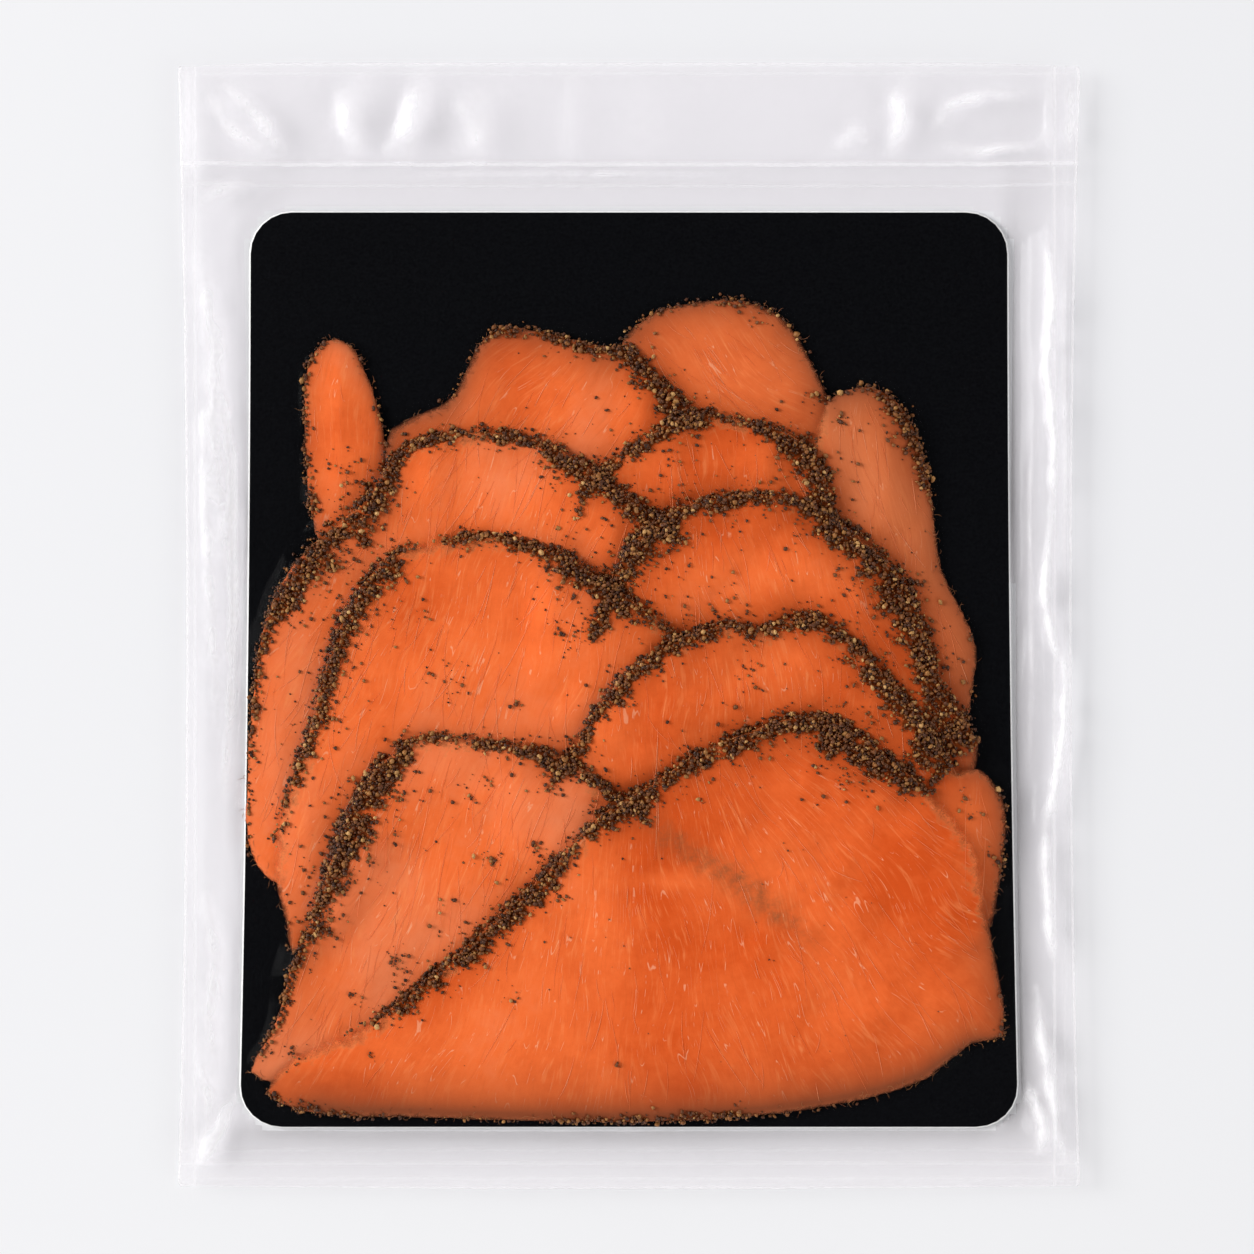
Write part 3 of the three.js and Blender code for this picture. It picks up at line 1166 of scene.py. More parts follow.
class Grain(Enum):
    """The kinds of cracked pepper: how common each is, its smallest and largest size, and its tints."""

    SKIN = ("pepper_skins", 0.36, 0.60, 1.35, 0.02, 0.34)
    HUSK = ("pepper_husks", 0.21, 0.55, 1.40, 0.16, 0.52)
    CRACKED = ("pepper_cracked", 0.36, 0.55, 1.45, 0.36, 0.74)
    HEART = ("pepper_hearts", 0.07, 0.50, 1.65, 0.66, 0.96)
    DUST = ("pepper_dust", 0.0, 0.25, 0.55, 0.02, 0.6)

    def __init__(self, title: str, share: float, small: float, large: float, dark: float,
                 light: float) -> None:
        """Names the numbers of a kind."""
        self.title = title
        self.share = share
        self.small = small
        self.large = large
        self.dark = dark
        self.light = light


@dataclass
class PepperMill:
    """Cracks pepper into a few shapes and scatters it."""

    seed: int = 11
    cover: float = 2.15
    pile: float = 1.0
    shapes: int = 7
    chips: list[tuple[np.ndarray, np.ndarray]] = field(default_factory=list)
    heaps: dict[Grain, list[np.ndarray]] = field(default_factory=dict)

    def __post_init__(self) -> None:
        """Cracks the shapes that the grains are copied from."""
        self.random = np.random.default_rng(self.seed)
        self.chips = [self.crack(number) for number in range(self.shapes)]

    def crack(self, number: int) -> tuple[np.ndarray, np.ndarray]:
        """Makes one chip: a rough ball of unit size with a side or two broken off.

        Args:
            number: Which chip it is.

        Returns:
            Its vertices and its triangles.
        """
        Hands.clear()
        bpy.ops.mesh.primitive_ico_sphere_add(subdivisions=1, radius=0.5)
        chip = bpy.context.object
        bpy.ops.object.mode_set(mode="EDIT")
        bpy.ops.mesh.select_all(action="SELECT")
        bpy.ops.transform.vertex_random(offset=0.13, seed=number + 1)
        for turn in range(1 + number % 2):
            angle = 1.3 * number + 2.1 * turn
            side = (math.cos(angle), math.sin(angle), 0.5 - 0.4 * turn)
            bpy.ops.mesh.select_all(action="SELECT")
            bpy.ops.mesh.bisect(
                plane_co=[0.24 * part for part in side], plane_no=side, use_fill=True, clear_outer=True
            )
        bpy.ops.mesh.select_all(action="SELECT")
        bpy.ops.mesh.quads_convert_to_tris()
        bpy.ops.mesh.normals_make_consistent(inside=False)
        bpy.ops.object.mode_set(mode="OBJECT")
        vertices = np.array([vertex.co[:] for vertex in chip.data.vertices])
        faces = np.array([face.vertices[:] for face in chip.data.polygons])
        bpy.data.objects.remove(chip)
        return vertices - vertices.mean(axis=0), faces

    def strew(self, places: np.ndarray, kind: Grain | None = None, lift: np.ndarray | float = 0.0) -> None:
        """Adds grains at places, each of a kind by chance unless one is named.

        Args:
            places: Where the grains lie, one row each.
            kind: The kind of all of them, or None.
            lift: How much higher than the surface each lies.
        """
        rows = np.column_stack([places[:, :2], np.broadcast_to(lift, len(places))])
        kinds = [one for one in Grain if one.share]
        picks = self.random.choice(len(kinds), len(rows), p=[one.share for one in kinds])
        for index, one in enumerate(kinds):
            chosen = rows if kind is not None else rows[picks == index]
            self.heaps.setdefault(kind or one, []).append(chosen)
            if kind is not None:
                break

    def coat(self, outline: Outline, crust: Crust) -> None:
        """Lays a crust along a slice's outline.

        Args:
            outline: The slice's outline.
            crust: The band of pepper.
        """
        points, rows = crust.line(outline)
        inward, width, cover = rows[:, :2], rows[:, 2], rows[:, 3]
        uneven = 1 + 0.26 * ripple(points, 15, 1.0) + 0.32 * ripple(points, 5, 4.0)
        width = width * np.clip(uneven, 0.45, 1.6)
        counts = self.random.poisson(np.clip(width, 0.6, None) * 0.5 * cover * self.cover)
        which = np.repeat(np.arange(len(points)), counts)
        share = self.random.beta(1.5, 1.6, len(which))
        strays = self.random.random(len(which)) < 0.11
        share = np.where(strays, self.random.normal(0.5, 0.75, len(which)), share)
        inset = share * width[which] - 0.16 * width[which] - 0.2
        jitter = self.random.normal(0, 0.42, (len(which), 2))
        places = points[which] + inward[which] * inset[:, None] + jitter
        middle = 1 - np.abs(2 * np.clip(share, 0, 1) - 1)
        lift = self.pile * middle * np.clip(width[which] / 7, 0.3, 1) * self.random.random(len(which))
        self.strew(places, lift=lift * np.clip(cover[which], 0.2, 1))
        halo = self.random.random(len(which)) < 0.22
        spread = self.random.normal(0, 1.0, (int(halo.sum()), 2)) * (0.8 + 0.35 * width[which][halo])[:, None]
        self.strew(places[halo] + spread * 0.8, Grain.DUST)

    def pinch(self, x: float, y: float, spread: float, count: int, kind: Grain | None = None) -> None:
        """Drops a loose pinch of grains.

        Args:
            x: Where, along X.
            y: Where, along Y.
            spread: How far the grains scatter.
            count: How many there are.
            kind: Their kind, or None for any.
        """
        places = np.array([x, y]) + self.random.normal(0, spread, (count, 2))
        self.strew(places, kind)

    def sprinkle(self, outlines: Sequence[Outline], per_square: float) -> None:
        """Dusts the slices lightly all over.

        Args:
            outlines: The slices' outlines.
            per_square: How many specks there are to each square millimetre.
        """
        for outline in outlines:
            low, high = outline.points[:, :2].min(axis=0), outline.points[:, :2].max(axis=0)
            count = int(np.prod(high - low) * per_square)
            places = low + self.random.random((count, 2)) * (high - low)
            thick = ripple(places, 26, 7.0) > 0.1
            self.strew(places[(outline.depth(places) > 1) & thick], Grain.DUST)

    def sweep(self, slices: Sequence[Outline], edge: Outline) -> None:
        """Takes away grains that fell off the card, and most of those that missed the fish.

        Args:
            slices: The slices' outlines.
            edge: The card's outline.
        """
        for kind, heaps in self.heaps.items():
            rows = np.vstack(heaps)
            rows = rows[edge.depth(rows) > 0.8]
            on_fish = np.max([outline.depth(rows) for outline in slices], axis=0)
            kept = on_fish > np.minimum(-0.2, -self.random.exponential(0.55, len(rows)))
            self.heaps[kind] = [rows[kept]]

    def build(self, relief: Relief, finish: Finish) -> None:
        """Joins each kind into one piece and lets it settle on the surface.

        Args:
            relief: The surface's heights, which the grains then raise.
            finish: The pepper's finish.
        """
        under = relief.copy()
        for kind, heaps in self.heaps.items():
            rows = np.vstack(heaps)
            size = kind.small + (kind.large - kind.small) * self.random.random(len(rows)) ** 1.7
            stretch = 1 + 0.32 * self.random.uniform(-1, 1, (len(rows), 3))
            stretch[:, 2] *= 0.8
            base = under.at(rows)
            centres = np.column_stack([rows[:, :2], base + rows[:, 2] + 0.22 * size])
            tint = kind.dark + (kind.light - kind.dark) * self.random.random(len(rows))
            self.join(kind, centres, size[:, None] * stretch, tint, finish)
            tops = centres + np.array([0, 0, 0.42]) * size[:, None]
            relief.raise_to(tops)
        LOG.info("grains: %d", sum(len(np.vstack(heaps)) for heaps in self.heaps.values()))

    def join(self, kind: Grain, centres: np.ndarray, sizes: np.ndarray, tint: np.ndarray,
             finish: Finish) -> None:
        """Copies the chips to all the grains of a kind as one piece.

        Args:
            kind: The kind.
            centres: Each grain's middle.
            sizes: Its size along its own three axes.
            tint: Its tint.
            finish: The pepper's finish.
        """
        turns = self.turns(len(centres))
        chip_of = self.random.integers(0, len(self.chips), len(centres))
        vertices, faces, tints, count = [], [], [], 0
        for number, (shape, sides) in enumerate(self.chips):
            mine = np.flatnonzero(chip_of == number)
            body = np.einsum("nij,nkj->nki", turns[mine], shape[None] * sizes[mine][:, None, :])
            vertices.append((body + centres[mine][:, None, :]).reshape(-1, 3))
            offsets = count + np.arange(len(mine))[:, None, None] * len(shape)
            faces.append((sides[None] + offsets).reshape(-1, 3))
            tints.append(np.repeat(tint[mine], len(shape)))
            count += len(mine) * len(shape)
        piece = Hands.join(kind.title, np.vstack(vertices), np.vstack(faces))
        Hands.tag(piece, "tint", np.concatenate(tints))
        Hands.hand_over(piece, finish, "pepper")

    def turns(self, count: int) -> np.ndarray:
        """Random turns, as matrices."""
        w, x, y, z = self.random.normal(size=(4, count))
        size = np.sqrt(w * w + x * x + y * y + z * z)
        w, x, y, z = w / size, x / size, y / size, z / size
        rows = [
            [1 - 2 * (y * y + z * z), 2 * (x * y - z * w), 2 * (x * z + y * w)],
            [2 * (x * y + z * w), 1 - 2 * (x * x + z * z), 2 * (y * z - x * w)],
            [2 * (x * z - y * w), 2 * (y * z + x * w), 1 - 2 * (x * x + y * y)],
        ]
        return np.array(rows).transpose(2, 0, 1)


class StainsAndShade:
    """Where pepper darkens the flesh: close under the grains, where it browns it, and faintly round about, as
    painted shade.
    """

    def __init__(self, mill: PepperMill) -> None:
        """Maps a mill's grains.

        Args:
            mill: The mill, once its grains are strewn.
        """
        self.near = Relief(122, 150, 0.5)
        for kind, heaps in mill.heaps.items():
            cells = self.near.cells(np.vstack(heaps))
            np.add.at(self.near.heights, cells, 0.25 if kind is Grain.DUST else 1.0)
        self.near.soften(3)
        self.near.heights = np.clip(self.near.heights * 1.35, 0, 1)
        # The wide map carries only the painted shade round the pepper.
        self.wide = self.near.copy()
        self.wide.soften(150)
        self.wide.heights = np.clip(self.wide.heights * 2.4, 0, 1)


# ---- Strands ----


@dataclass
class Strands:
    """Fine pale strands: long ones along the fibres, and short curly ones round the bare rims."""

    seed: int = 5
    steps: int = 8
    thick: float = 0.042
    random: np.random.Generator = field(init=False)
    paths: list[np.ndarray] = field(default_factory=list)
    tints: list[float] = field(default_factory=list)

    def __post_init__(self) -> None:
        """Seeds the strands."""
        self.random = np.random.default_rng(self.seed)

    def comb(self, slices: Sequence[Slice]) -> None:
        """Lays long strands along the fibres where each slice shows.

        Args:
            slices: The slices, from the back of the stack to the front.
        """
        for index, one in enumerate(slices):
            low, high = one.outline.points[:, :2].min(axis=0), one.outline.points[:, :2].max(axis=0)
            starts = low + self.random.random((one.strands * 6, 2)) * (high - low)
            shown = one.outline.depth(starts) > 3
            for other in slices[index + 1:]:
                shown &= other.outline.depth(starts) < -1
            for start in starts[shown][: one.strands]:
                self.draw(start, one.heading(start), 5 + 20 * self.random.random() ** 2, 0.03,
                          0.66 * self.random.random())
                if one.outline.depth(self.paths[-1]).min() < 1.5:
                    self.paths.pop()
                    self.tints.pop()

    def draw(self, start: np.ndarray, heading: np.ndarray, length: float, curl: float,
             tint: float) -> None:
        """Draws one strand.

        Args:
            start: Where it starts.
            heading: The direction that it sets off in.
            length: Its length.
            curl: How much it turns at each step.
            tint: Its tint.
        """
        angle = math.atan2(heading[1], heading[0]) + self.random.normal(0, 0.16)
        bend = self.random.normal(0, curl)
        path = [start]
        for _ in range(self.steps):
            angle += bend + self.random.normal(0, curl * 0.8)
            path.append(path[-1] + length / self.steps * np.array([math.cos(angle), math.sin(angle)]))
        self.paths.append(np.array(path))
        self.tints.append(tint)

    def fringe(self, one: Slice, below: Sequence[Slice], above: Sequence[Slice]) -> None:
        """Sets short curly strands along a slice's rim where it lies on the bare card.

        Args:
            one: The slice.
            below: The slices under it.
            above: The slices over it.
        """
        rim = even(np.vstack([one.outline.points, one.outline.points[:1]])[:, :2], 1.1)
        bare = one.over_card(rim, below) > 0.6
        for other in above:
            bare &= other.outline.depth(rim) < -0.5
        ahead = np.gradient(rim, axis=0)
        for point, (x, y) in zip(rim[bare], ahead[bare]):
            outward = np.array([-y, x]) / (math.hypot(x, y) + 1e-9)
            along = np.array([x, y]) / (math.hypot(x, y) + 1e-9)
            heading = outward * self.random.uniform(-0.2, 1) + along * self.random.normal(0, 1)
            start = point - outward * self.random.uniform(0.2, 1.8)
            self.draw(start, heading, self.random.uniform(0.8, 2.8), 0.32,
                      self.random.uniform(0.72, 1.0))

    def build(self, relief: Relief, finish: Finish) -> None:
        """Makes all the strands one piece of thin tapered threads.

        Args:
            relief: The surface that they lie on.
            finish: The strands' finish.
        """
        count = self.steps + 1
        ring = np.array([0, 1, 2]) * 2 * math.pi / 3
        vertices, faces, tints = [], [], []
        sides = [
            [a + i, a + (i + 1) % 3, a + 3 + (i + 1) % 3]
            for a in range(0, 3 * self.steps, 3) for i in range(3)
        ] + [
            [a + i, a + 3 + (i + 1) % 3, a + 3 + i]
            for a in range(0, 3 * self.steps, 3) for i in range(3)
        ] + [[2, 1, 0], [3 * self.steps, 3 * self.steps + 1, 3 * self.steps + 2]]
        taper = 0.25 + 0.75 * np.sin(np.linspace(0.12, math.pi - 0.12, count))
        for number, (path, tint) in enumerate(zip(self.paths, self.tints)):
            ahead = np.gradient(path, axis=0)
            ahead /= np.linalg.norm(ahead, axis=1)[:, None] + 1e-9
            across = np.column_stack([ahead[:, 1], -ahead[:, 0]])
            radius = taper * self.thick * (0.7 + 0.6 * ((number * 0.618) % 1))
            height = relief.at(path) + 0.05
            turns = np.cos(ring)[None, :, None] * across[:, None, :] * radius[:, None, None]
            rise = np.sin(ring)[None, :] * radius[:, None]
            body = np.concatenate(
                [path[:, None, :] + turns, (height[:, None] + rise)[:, :, None]], axis=2
            )
            vertices.append(body.reshape(-1, 3))
            faces.append(np.array(sides) + number * count * 3)
            tints.append(np.full(count * 3, tint))
        piece = Hands.join("strands", np.vstack(vertices), np.vstack(faces))
        Hands.tag(piece, "tint", np.concatenate(tints))
        Hands.hand_over(piece, finish, "flesh")


# ---- Pouch ----


@dataclass(frozen=True)
class Crease:
    """A fold in the slack film: a ridge along a line, with a painted highlight along its crest."""

    line: tuple[Pair, ...]
    height: float
    width: float
    milk_and_highlight: float = 0.0

    def rise(self, places: np.ndarray) -> np.ndarray:
        """The fold's height at each place, as a share of its full height."""
        gap, run = away(places, self.line)
        wander = 0.35 * self.width * ripple(places, 11, self.line[0][1])
        return np.exp(-(np.abs((gap + wander) / self.width) ** 1.5)) * np.sin(math.pi * run) ** 0.5


@dataclass(frozen=True)
class Dent:
    """An oval swelling or hollow in the header, turned by an angle."""

    x: float
    y: float
    wide: float
    high: float
    angle: float
    height: float
    # How strong the dent's painted highlight is; below nought it is less white.
    milk_and_highlight: float = 0.0

    def rise(self, places: np.ndarray) -> np.ndarray:
        """The dent's height at each place, as a share of its full height."""
        turn = math.radians(self.angle)
        dx, dy = places[:, 0] - self.x, places[:, 1] - self.y
        across = (dx * math.cos(turn) + dy * math.sin(turn)) / self.wide
        along = (dy * math.cos(turn) - dx * math.sin(turn)) / self.high
        return np.exp(-((across**2 + along**2) ** 1.4))


@dataclass
class Pouch:
    """The clear pouch: a front film drawn tight over the slices and a flat back film, welded all round."""

    card: Outline
    rim: Outline
    clearance: float = 0.28
    back: float = 0.05
    weld: float = 0.12
    foot: float = 0.12
    seal: float = 0.72
    seal_height: float = 4.1
    columns: int = 180
    rows: int = 230
    header: float = 118.4
    broad_shade: Pair = (0.22, 0.5)
    tight_shade: Pair = (0.35, 1.5)
    collar_shade: float = 0.025
    dent_share: float = 0.72

    creases: tuple[Crease, ...] = (
        Crease(((-110.5, 97), (-108, 86), (-106, 70), (-106.5, 50), (-105, 34), (-104, 12)), 1.5, 2.6, 0.6),
        Crease(((-105, 66), (-102, 42), (-101.6, 10), (-102, -14), (-103.6, -44)), 1.2, 1.3, 0.85),
        Crease(((-109, 58), (-108.6, 35), (-107.4, 12), (-106, -8), (-105.4, -30)), 0.8, 1.5, 0.5),
        Crease(((-108.5, -66), (-106, -84), (-107.5, -100), (-105.5, -118)), 0.9, 1.9, 0.45),
        Crease(((-101, -120), (-105, -129), (-110.5, -138)), 1.3, 2.2, 0.8),
        Crease(((-111, -108), (-107.5, -120), (-108, -133)), 0.8, 1.5, 0.5),
        Crease(((-110, 108), (-104, 112), (-96, 113)), 0.9, 2.0, 0.35),
        Crease(((106.6, 104), (108.2, 84), (106.8, 66), (108.8, 48), (108, 22)), 1.1, 1.2, 0.9),
        Crease(((108, 26), (106.2, 9), (108.2, -4), (112, -12)), 1.0, 1.1, 0.9),
        Crease(((112, -6), (111.4, -26), (109.6, -38), (106.4, -52)), 1.1, 1.3, 0.85),
        Crease(((106.4, -50), (107, -70), (108.4, -86)), 1.0, 1.2, 0.8),
        Crease(((104.5, -92), (106, -108), (108.5, -122), (112, -138)), 1.2, 1.7, 0.8),
        Crease(((102.5, -118), (106, -128), (105, -136)), 1.0, 1.7, 0.6),
        Crease(((104, 60), (102.6, 30), (103.4, -10), (102.4, -44)), 0.5, 0.9, 0.12),
        Crease(((111.6, 100), (111, 70), (111.8, 40), (111, 10)), 0.5, 0.9, 0.3),
        Crease(((-60, 115.5), (-20, 116), (30, 115.6)), 0.4, 0.9, 0.25),
        Crease(((-104, 139), (-97, 133), (-88, 120)), 0.48, 1.54, 0.51),
        Crease(((-108, 137), (-103, 128), (-92, 120)), 0.48, 1.82, 0.34),
        Crease(((-78, 137), (-76, 130), (-79, 122)), -0.48, 1.68, 0.09),
        Crease(((-75, 138), (-73, 128), (-68, 121)), 0.48, 1.68, 0.47),
        Crease(((-55, 138), (-57.5, 128), (-63, 120.5)), 0.48, 1.68, 0.59),
        Crease(((-52, 137), (-52.5, 128), (-56, 121)), -0.56, 1.4, 0.0),
        Crease(((-44, 136), (-41, 129), (-38, 121)), 0.4, 1.68, 0.34),
        Crease(((67, 138), (69.5, 130), (67, 121)), 0.56, 1.68, 0.59),
        Crease(((53, 122), (58, 127), (62, 123)), 0.32, 1.4, 0.34),
        Crease(((77, 126), (82, 133), (92, 136), (102, 135)), 0.32, 1.4, 0.42),
        Crease(((78, 123), (90, 121.5), (104, 123), (108, 129)), 0.32, 1.4, 0.3),
        Crease(((113, 139), (113.2, 130), (112.6, 121)), 0.32, 1.12, 0.51),
    )
    dents: tuple[Dent, ...] = (
        Dent(-97, 128.5, 4.6, 11.0, 38, 1.6, 0.16),
        Dent(-77, 128.5, 4.4, 9.6, 8, -1.2, -0.05),
        Dent(-70.5, 129, 3.2, 10.5, -6, 1.3, 0.2),
        Dent(-62, 131.5, 3.8, 6.6, -10, -1.0, -0.04),
        Dent(-55.5, 129, 3.6, 11, -14, 1.5, 0.28),
        Dent(-39.5, 127.5, 5.0, 10, 6, 1.5, 0.22),
        Dent(-27, 128, 4.4, 8.5, 4, -0.8, -0.04),
        Dent(-15.5, 129, 2.2, 10.5, -4, 1.0, 0.12),
        Dent(3, 129, 6.5, 12, 20, 1.1, 0.05),
        Dent(24, 128, 7.0, 9, 0, -0.6, -0.03),
        Dent(56, 124, 4.5, 5.5, -12, 0.9, 0.08),
        Dent(69.5, 129.5, 2.8, 10.5, -8, 1.2, 0.2),
        Dent(93, 129, 11.5, 7.2, 4, -1.3, -0.05),
        Dent(107.6, 130, 1.6, 9.5, 0, 1.2, 0.2),
        Dent(-113, 128, 1.4, 12, 0, 0.7, 0.3),
    )

    def share(self, places: np.ndarray) -> np.ndarray:
        """How far places are from the card's edge to the pouch's rim, from 0 to 1."""
        out = np.clip(-self.card.depth(places), 0, None)
        inner = np.clip(self.rim.depth(places), 0, None)
        return out / np.maximum(out + inner, 1e-6)

    def back_height(self, share: np.ndarray) -> np.ndarray:
        """Height of the back film."""
        return self.back + self.seal_height * ease(share, self.foot, self.seal)

    def slack(self, places: np.ndarray, share: np.ndarray) -> np.ndarray:
        """How far the front film stands off the back one in the margin."""
        roll = 1.15 * np.exp(-(((share - 0.34) / 0.17) ** 2)) * (1 + 0.5 * ripple(places, 38, 9.0))
        near = 1.35 * ease(share, 0.16, 0.0)
        lift = self.weld + roll + near
        for fold in self.creases:
            lift = lift + fold.height * fold.rise(places) * ease(share, 0.98, 0.86)
        pocket = ease(places[:, 1], self.header, self.header + 3) * ease(self.rim.depth(places), 1.5, 5)
        lift = lift + 0.9 * pocket
        for dent in self.dents:
            lift = lift + self.dent_share * dent.height * dent.rise(places)
        weld_line = np.exp(-(((places[:, 1] - self.header) / 1.6) ** 2))
        lift = lift * (1 - 0.75 * weld_line)
        return np.maximum(lift, self.weld)

    def milk_and_highlight(self, places: np.ndarray, share: np.ndarray) -> np.ndarray:
        """How white the film is at each place: faintly over the margin, more at its outer fold, and with
        painted highlights on the folds and dents.
        """
        outside = ease(share, 0.0, 0.04)
        milk_and_highlight = 0.012 + 0.012 * ease(share, self.seal - 0.1, self.seal + 0.1)
        patchy = 0.7 + 0.3 * ripple(places, 23, 4.0)
        for fold in self.creases:
            milk_and_highlight = milk_and_highlight + patchy * fold.milk_and_highlight * fold.rise(places) ** 1.6
        for dent in self.dents:
            milk_and_highlight = milk_and_highlight + 0.5 * dent.milk_and_highlight * dent.rise(places)
        rim = ease(self.rim.depth(places), 0.9, 0.2) * 0.25
        return np.clip(milk_and_highlight + rim, 0.01, 0.85) * outside

    def grey(self, places: np.ndarray, share: np.ndarray) -> np.ndarray:
        """How much painted grey shade lies in the film at each place: beside and below the card and in a band
        above it.
        """
        x, y = places[:, 0], places[:, 1]
        out = np.clip(-self.card.depth(places), 0, None)
        broad, tight = self.broad_shade, self.tight_shade
        fall = broad[0] * np.exp(-((share / broad[1]) ** 2)) + tight[0] * np.exp(-out / tight[1])
        beside = ease(x, 94, 99) * fall
        below = ease(-y, 126, 131) * fall * 0.7 * (1 - ease(x, 94, 99))
        collar = ease(y, 105, 109) * ease(y, self.header + 1, self.header - 2)
        length = 0.6 + 0.4 * ease(-y, -90, -20)
        return (beside * length + below + self.collar_shade * collar) * ease(share, 0.0, 0.02)

    def build(self, relief: Relief, finishes: tuple[Finish, Finish]) -> None:
        """Lays the front film over the contents and closes it with the back film.

        Args:
            relief: The heights of all that lies in the pouch.
            finishes: The finish of the slack film, and that of the film over the contents.
        """
        low, high = self.rim.points.min(axis=0), self.rim.points.max(axis=0)
        card_low, card_high = self.card.points.min(axis=0), self.card.points.max(axis=0)
        Hands.clear()
        bpy.ops.mesh.primitive_grid_add(x_subdivisions=self.columns, y_subdivisions=self.rows, size=2)
        film = bpy.context.object
        film.name = "clear_pouch"
        bpy.ops.object.mode_set(mode="EDIT")
        bpy.ops.mesh.select_all(action="SELECT")
        flat = len(film.data.vertices)
        bpy.ops.mesh.extrude_region_move(TRANSFORM_OT_translate={"value": (0, 0, -0.01)})
        bpy.ops.object.mode_set(mode="OBJECT")
        spots = Hands.places(film) * MM
        x = np.interp(spots[:, 0], [-1, -0.63, 0.63, 1], [low[0], card_low[0] - 1, card_high[0] + 1, high[0]])
        y = np.interp(spots[:, 1], [-1, -0.82, 0.65, 1], [low[1], card_low[1] - 1, card_high[1] + 1, high[1]])
        width = self.width_at(y) / high[0]
        places = np.column_stack([x * width, y, np.zeros(len(x))])
        share = self.share(places)
        back = self.back_height(share)
        skin = relief.copy()
        skin.tent(0.75, 14)
        skin.soften(2)
        held = skin.at(places) + self.clearance
        inside = self.card.depth(places) > 0
        front = np.where(inside, held, np.maximum(back + self.slack(places, share), np.minimum(held, 9)))
        is_back = np.arange(len(places)) >= flat
        if Hands.places(film)[:flat, 2].mean() < Hands.places(film)[flat:, 2].mean():
            is_back = ~is_back
        places[:, 2] = np.where(is_back, back, front)
        Hands.place(film, places)
        Hands.tag(film, "haze_and_highlight", self.milk_and_highlight(places, share))
        Hands.tag(film, "margin", ease(share, 0.02, 0.1))
        Hands.tag(film, "grey", np.where(is_back, 0.0, self.grey(places, share)))
        Hands.take(film)
        bpy.ops.object.mode_set(mode="EDIT")
        bpy.ops.mesh.select_all(action="SELECT")
        bpy.ops.mesh.normals_make_consistent(inside=False)
        bpy.ops.object.mode_set(mode="OBJECT")
        Hands.smooth(film)
        slack, tight = finishes
        Hands.hand_over(film, slack, "film", "pouch")
        Hands.second(film, tight, share <= 0)

    def width_at(self, y: np.ndarray) -> np.ndarray:
        """Half the pouch's width at each height up the pack."""
        right = self.rim.points[self.rim.points[:, 0] > 0]
        right = right[np.argsort(right[:, 1])]
        return np.interp(y, right[:, 1], right[:, 0])


# ---- Studio ----


@dataclass
class Studio:
    """A pale floor, soft lamps and a camera that looks straight down.

    Each lamp has its name, where it hangs, its side and its power, in metres and watts.
    """

    centre: Pair = (-0.5, -0.3)
    view_width: float = 322.3
    camera_height: float = 900.0
    floor_size: float = 6000.0
    lamps: tuple[tuple[str, tuple[float, float, float], float, float], ...] = (
        ("key", (-4.6, 1.2, 2.6), 2.6, 285.0),
        ("fill", (4.0, -2.8, 3.8), 4.0, 118.0),
    )

    def build(self) -> None:
        """Sets up the floor, the lamps and the camera."""
        self.floor()
        for lamp in self.lamps:
            self.lamp(*lamp)
        self.sky()
        self.camera()

    def floor(self) -> None:
        """The floor, just under the pack."""
        Hands.clear()
        bpy.ops.mesh.primitive_plane_add(size=self.floor_size * MM, location=(0, 0, 0))
        floor = bpy.context.object
        floor.name = "floor"
        floor.data.materials.append(FloorFinish().material)
        floor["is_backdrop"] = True

    def lamp(self, name: str, place: tuple[float, float, float], size: float, power: float) -> None:
        """A square soft lamp that faces the pack.

        Args:
            name: The lamp's name.
            place: Where it hangs, in metres.
            size: Its side, in metres.
            power: Its power, in watts.
        """
        Hands.clear()
        bpy.ops.object.light_add(type="AREA", location=place)
        lamp = bpy.context.object
        lamp.name = name
        lamp.data.shape = "SQUARE"
        lamp.data.size = size
        lamp.data.energy = power
        lamp.rotation_euler = (-lamp.location).to_track_quat("-Z", "Y").to_euler()

    def sky(self) -> None:
        """Soft light all round, dark overhead so that nothing mirrors in flat film."""
        world = bpy.data.worlds.new("studio_walls")
        world.use_nodes = True
        nodes, links = world.node_tree.nodes, world.node_tree.links
        nodes.clear()
        spot = nodes.new("ShaderNodeTexCoord")
        split = nodes.new("ShaderNodeSeparateXYZ")
        fade = nodes.new("ShaderNodeMapRange")
        fade.interpolation_type = "SMOOTHSTEP"
        for name, value in (("From Min", 0.45), ("From Max", 0.86), ("To Min", 1.13), ("To Max", 0.02)):
            fade.inputs[name].default_value = value
        background = nodes.new("ShaderNodeBackground")
        background.inputs["Color"].default_value = (0.98, 0.98, 1.0, 1)
        output = nodes.new("ShaderNodeOutputWorld")
        links.new(spot.outputs["Generated"], split.inputs[0])
        links.new(split.outputs[2], fade.inputs["Value"])
        links.new(fade.outputs[0], background.inputs["Strength"])
        links.new(background.outputs[0], output.inputs[0])
        bpy.context.scene.world = world

    def camera(self) -> None:
        """The camera, straight above the pack with the header at the top."""
        Hands.clear()
        x, y = self.centre
        bpy.ops.object.camera_add(location=(x * MM, y * MM, self.camera_height * MM), rotation=(0, 0, 0))
        camera = bpy.context.object
        camera.name = "camera"
        camera.data.sensor_width = 36.0
        camera.data.lens = 36.0 * self.camera_height / self.view_width
        camera.data.clip_start = 0.01
        bpy.context.scene.camera = camera
        bpy.context.scene.view_settings.view_transform = "Standard"


# ---- The pack ----


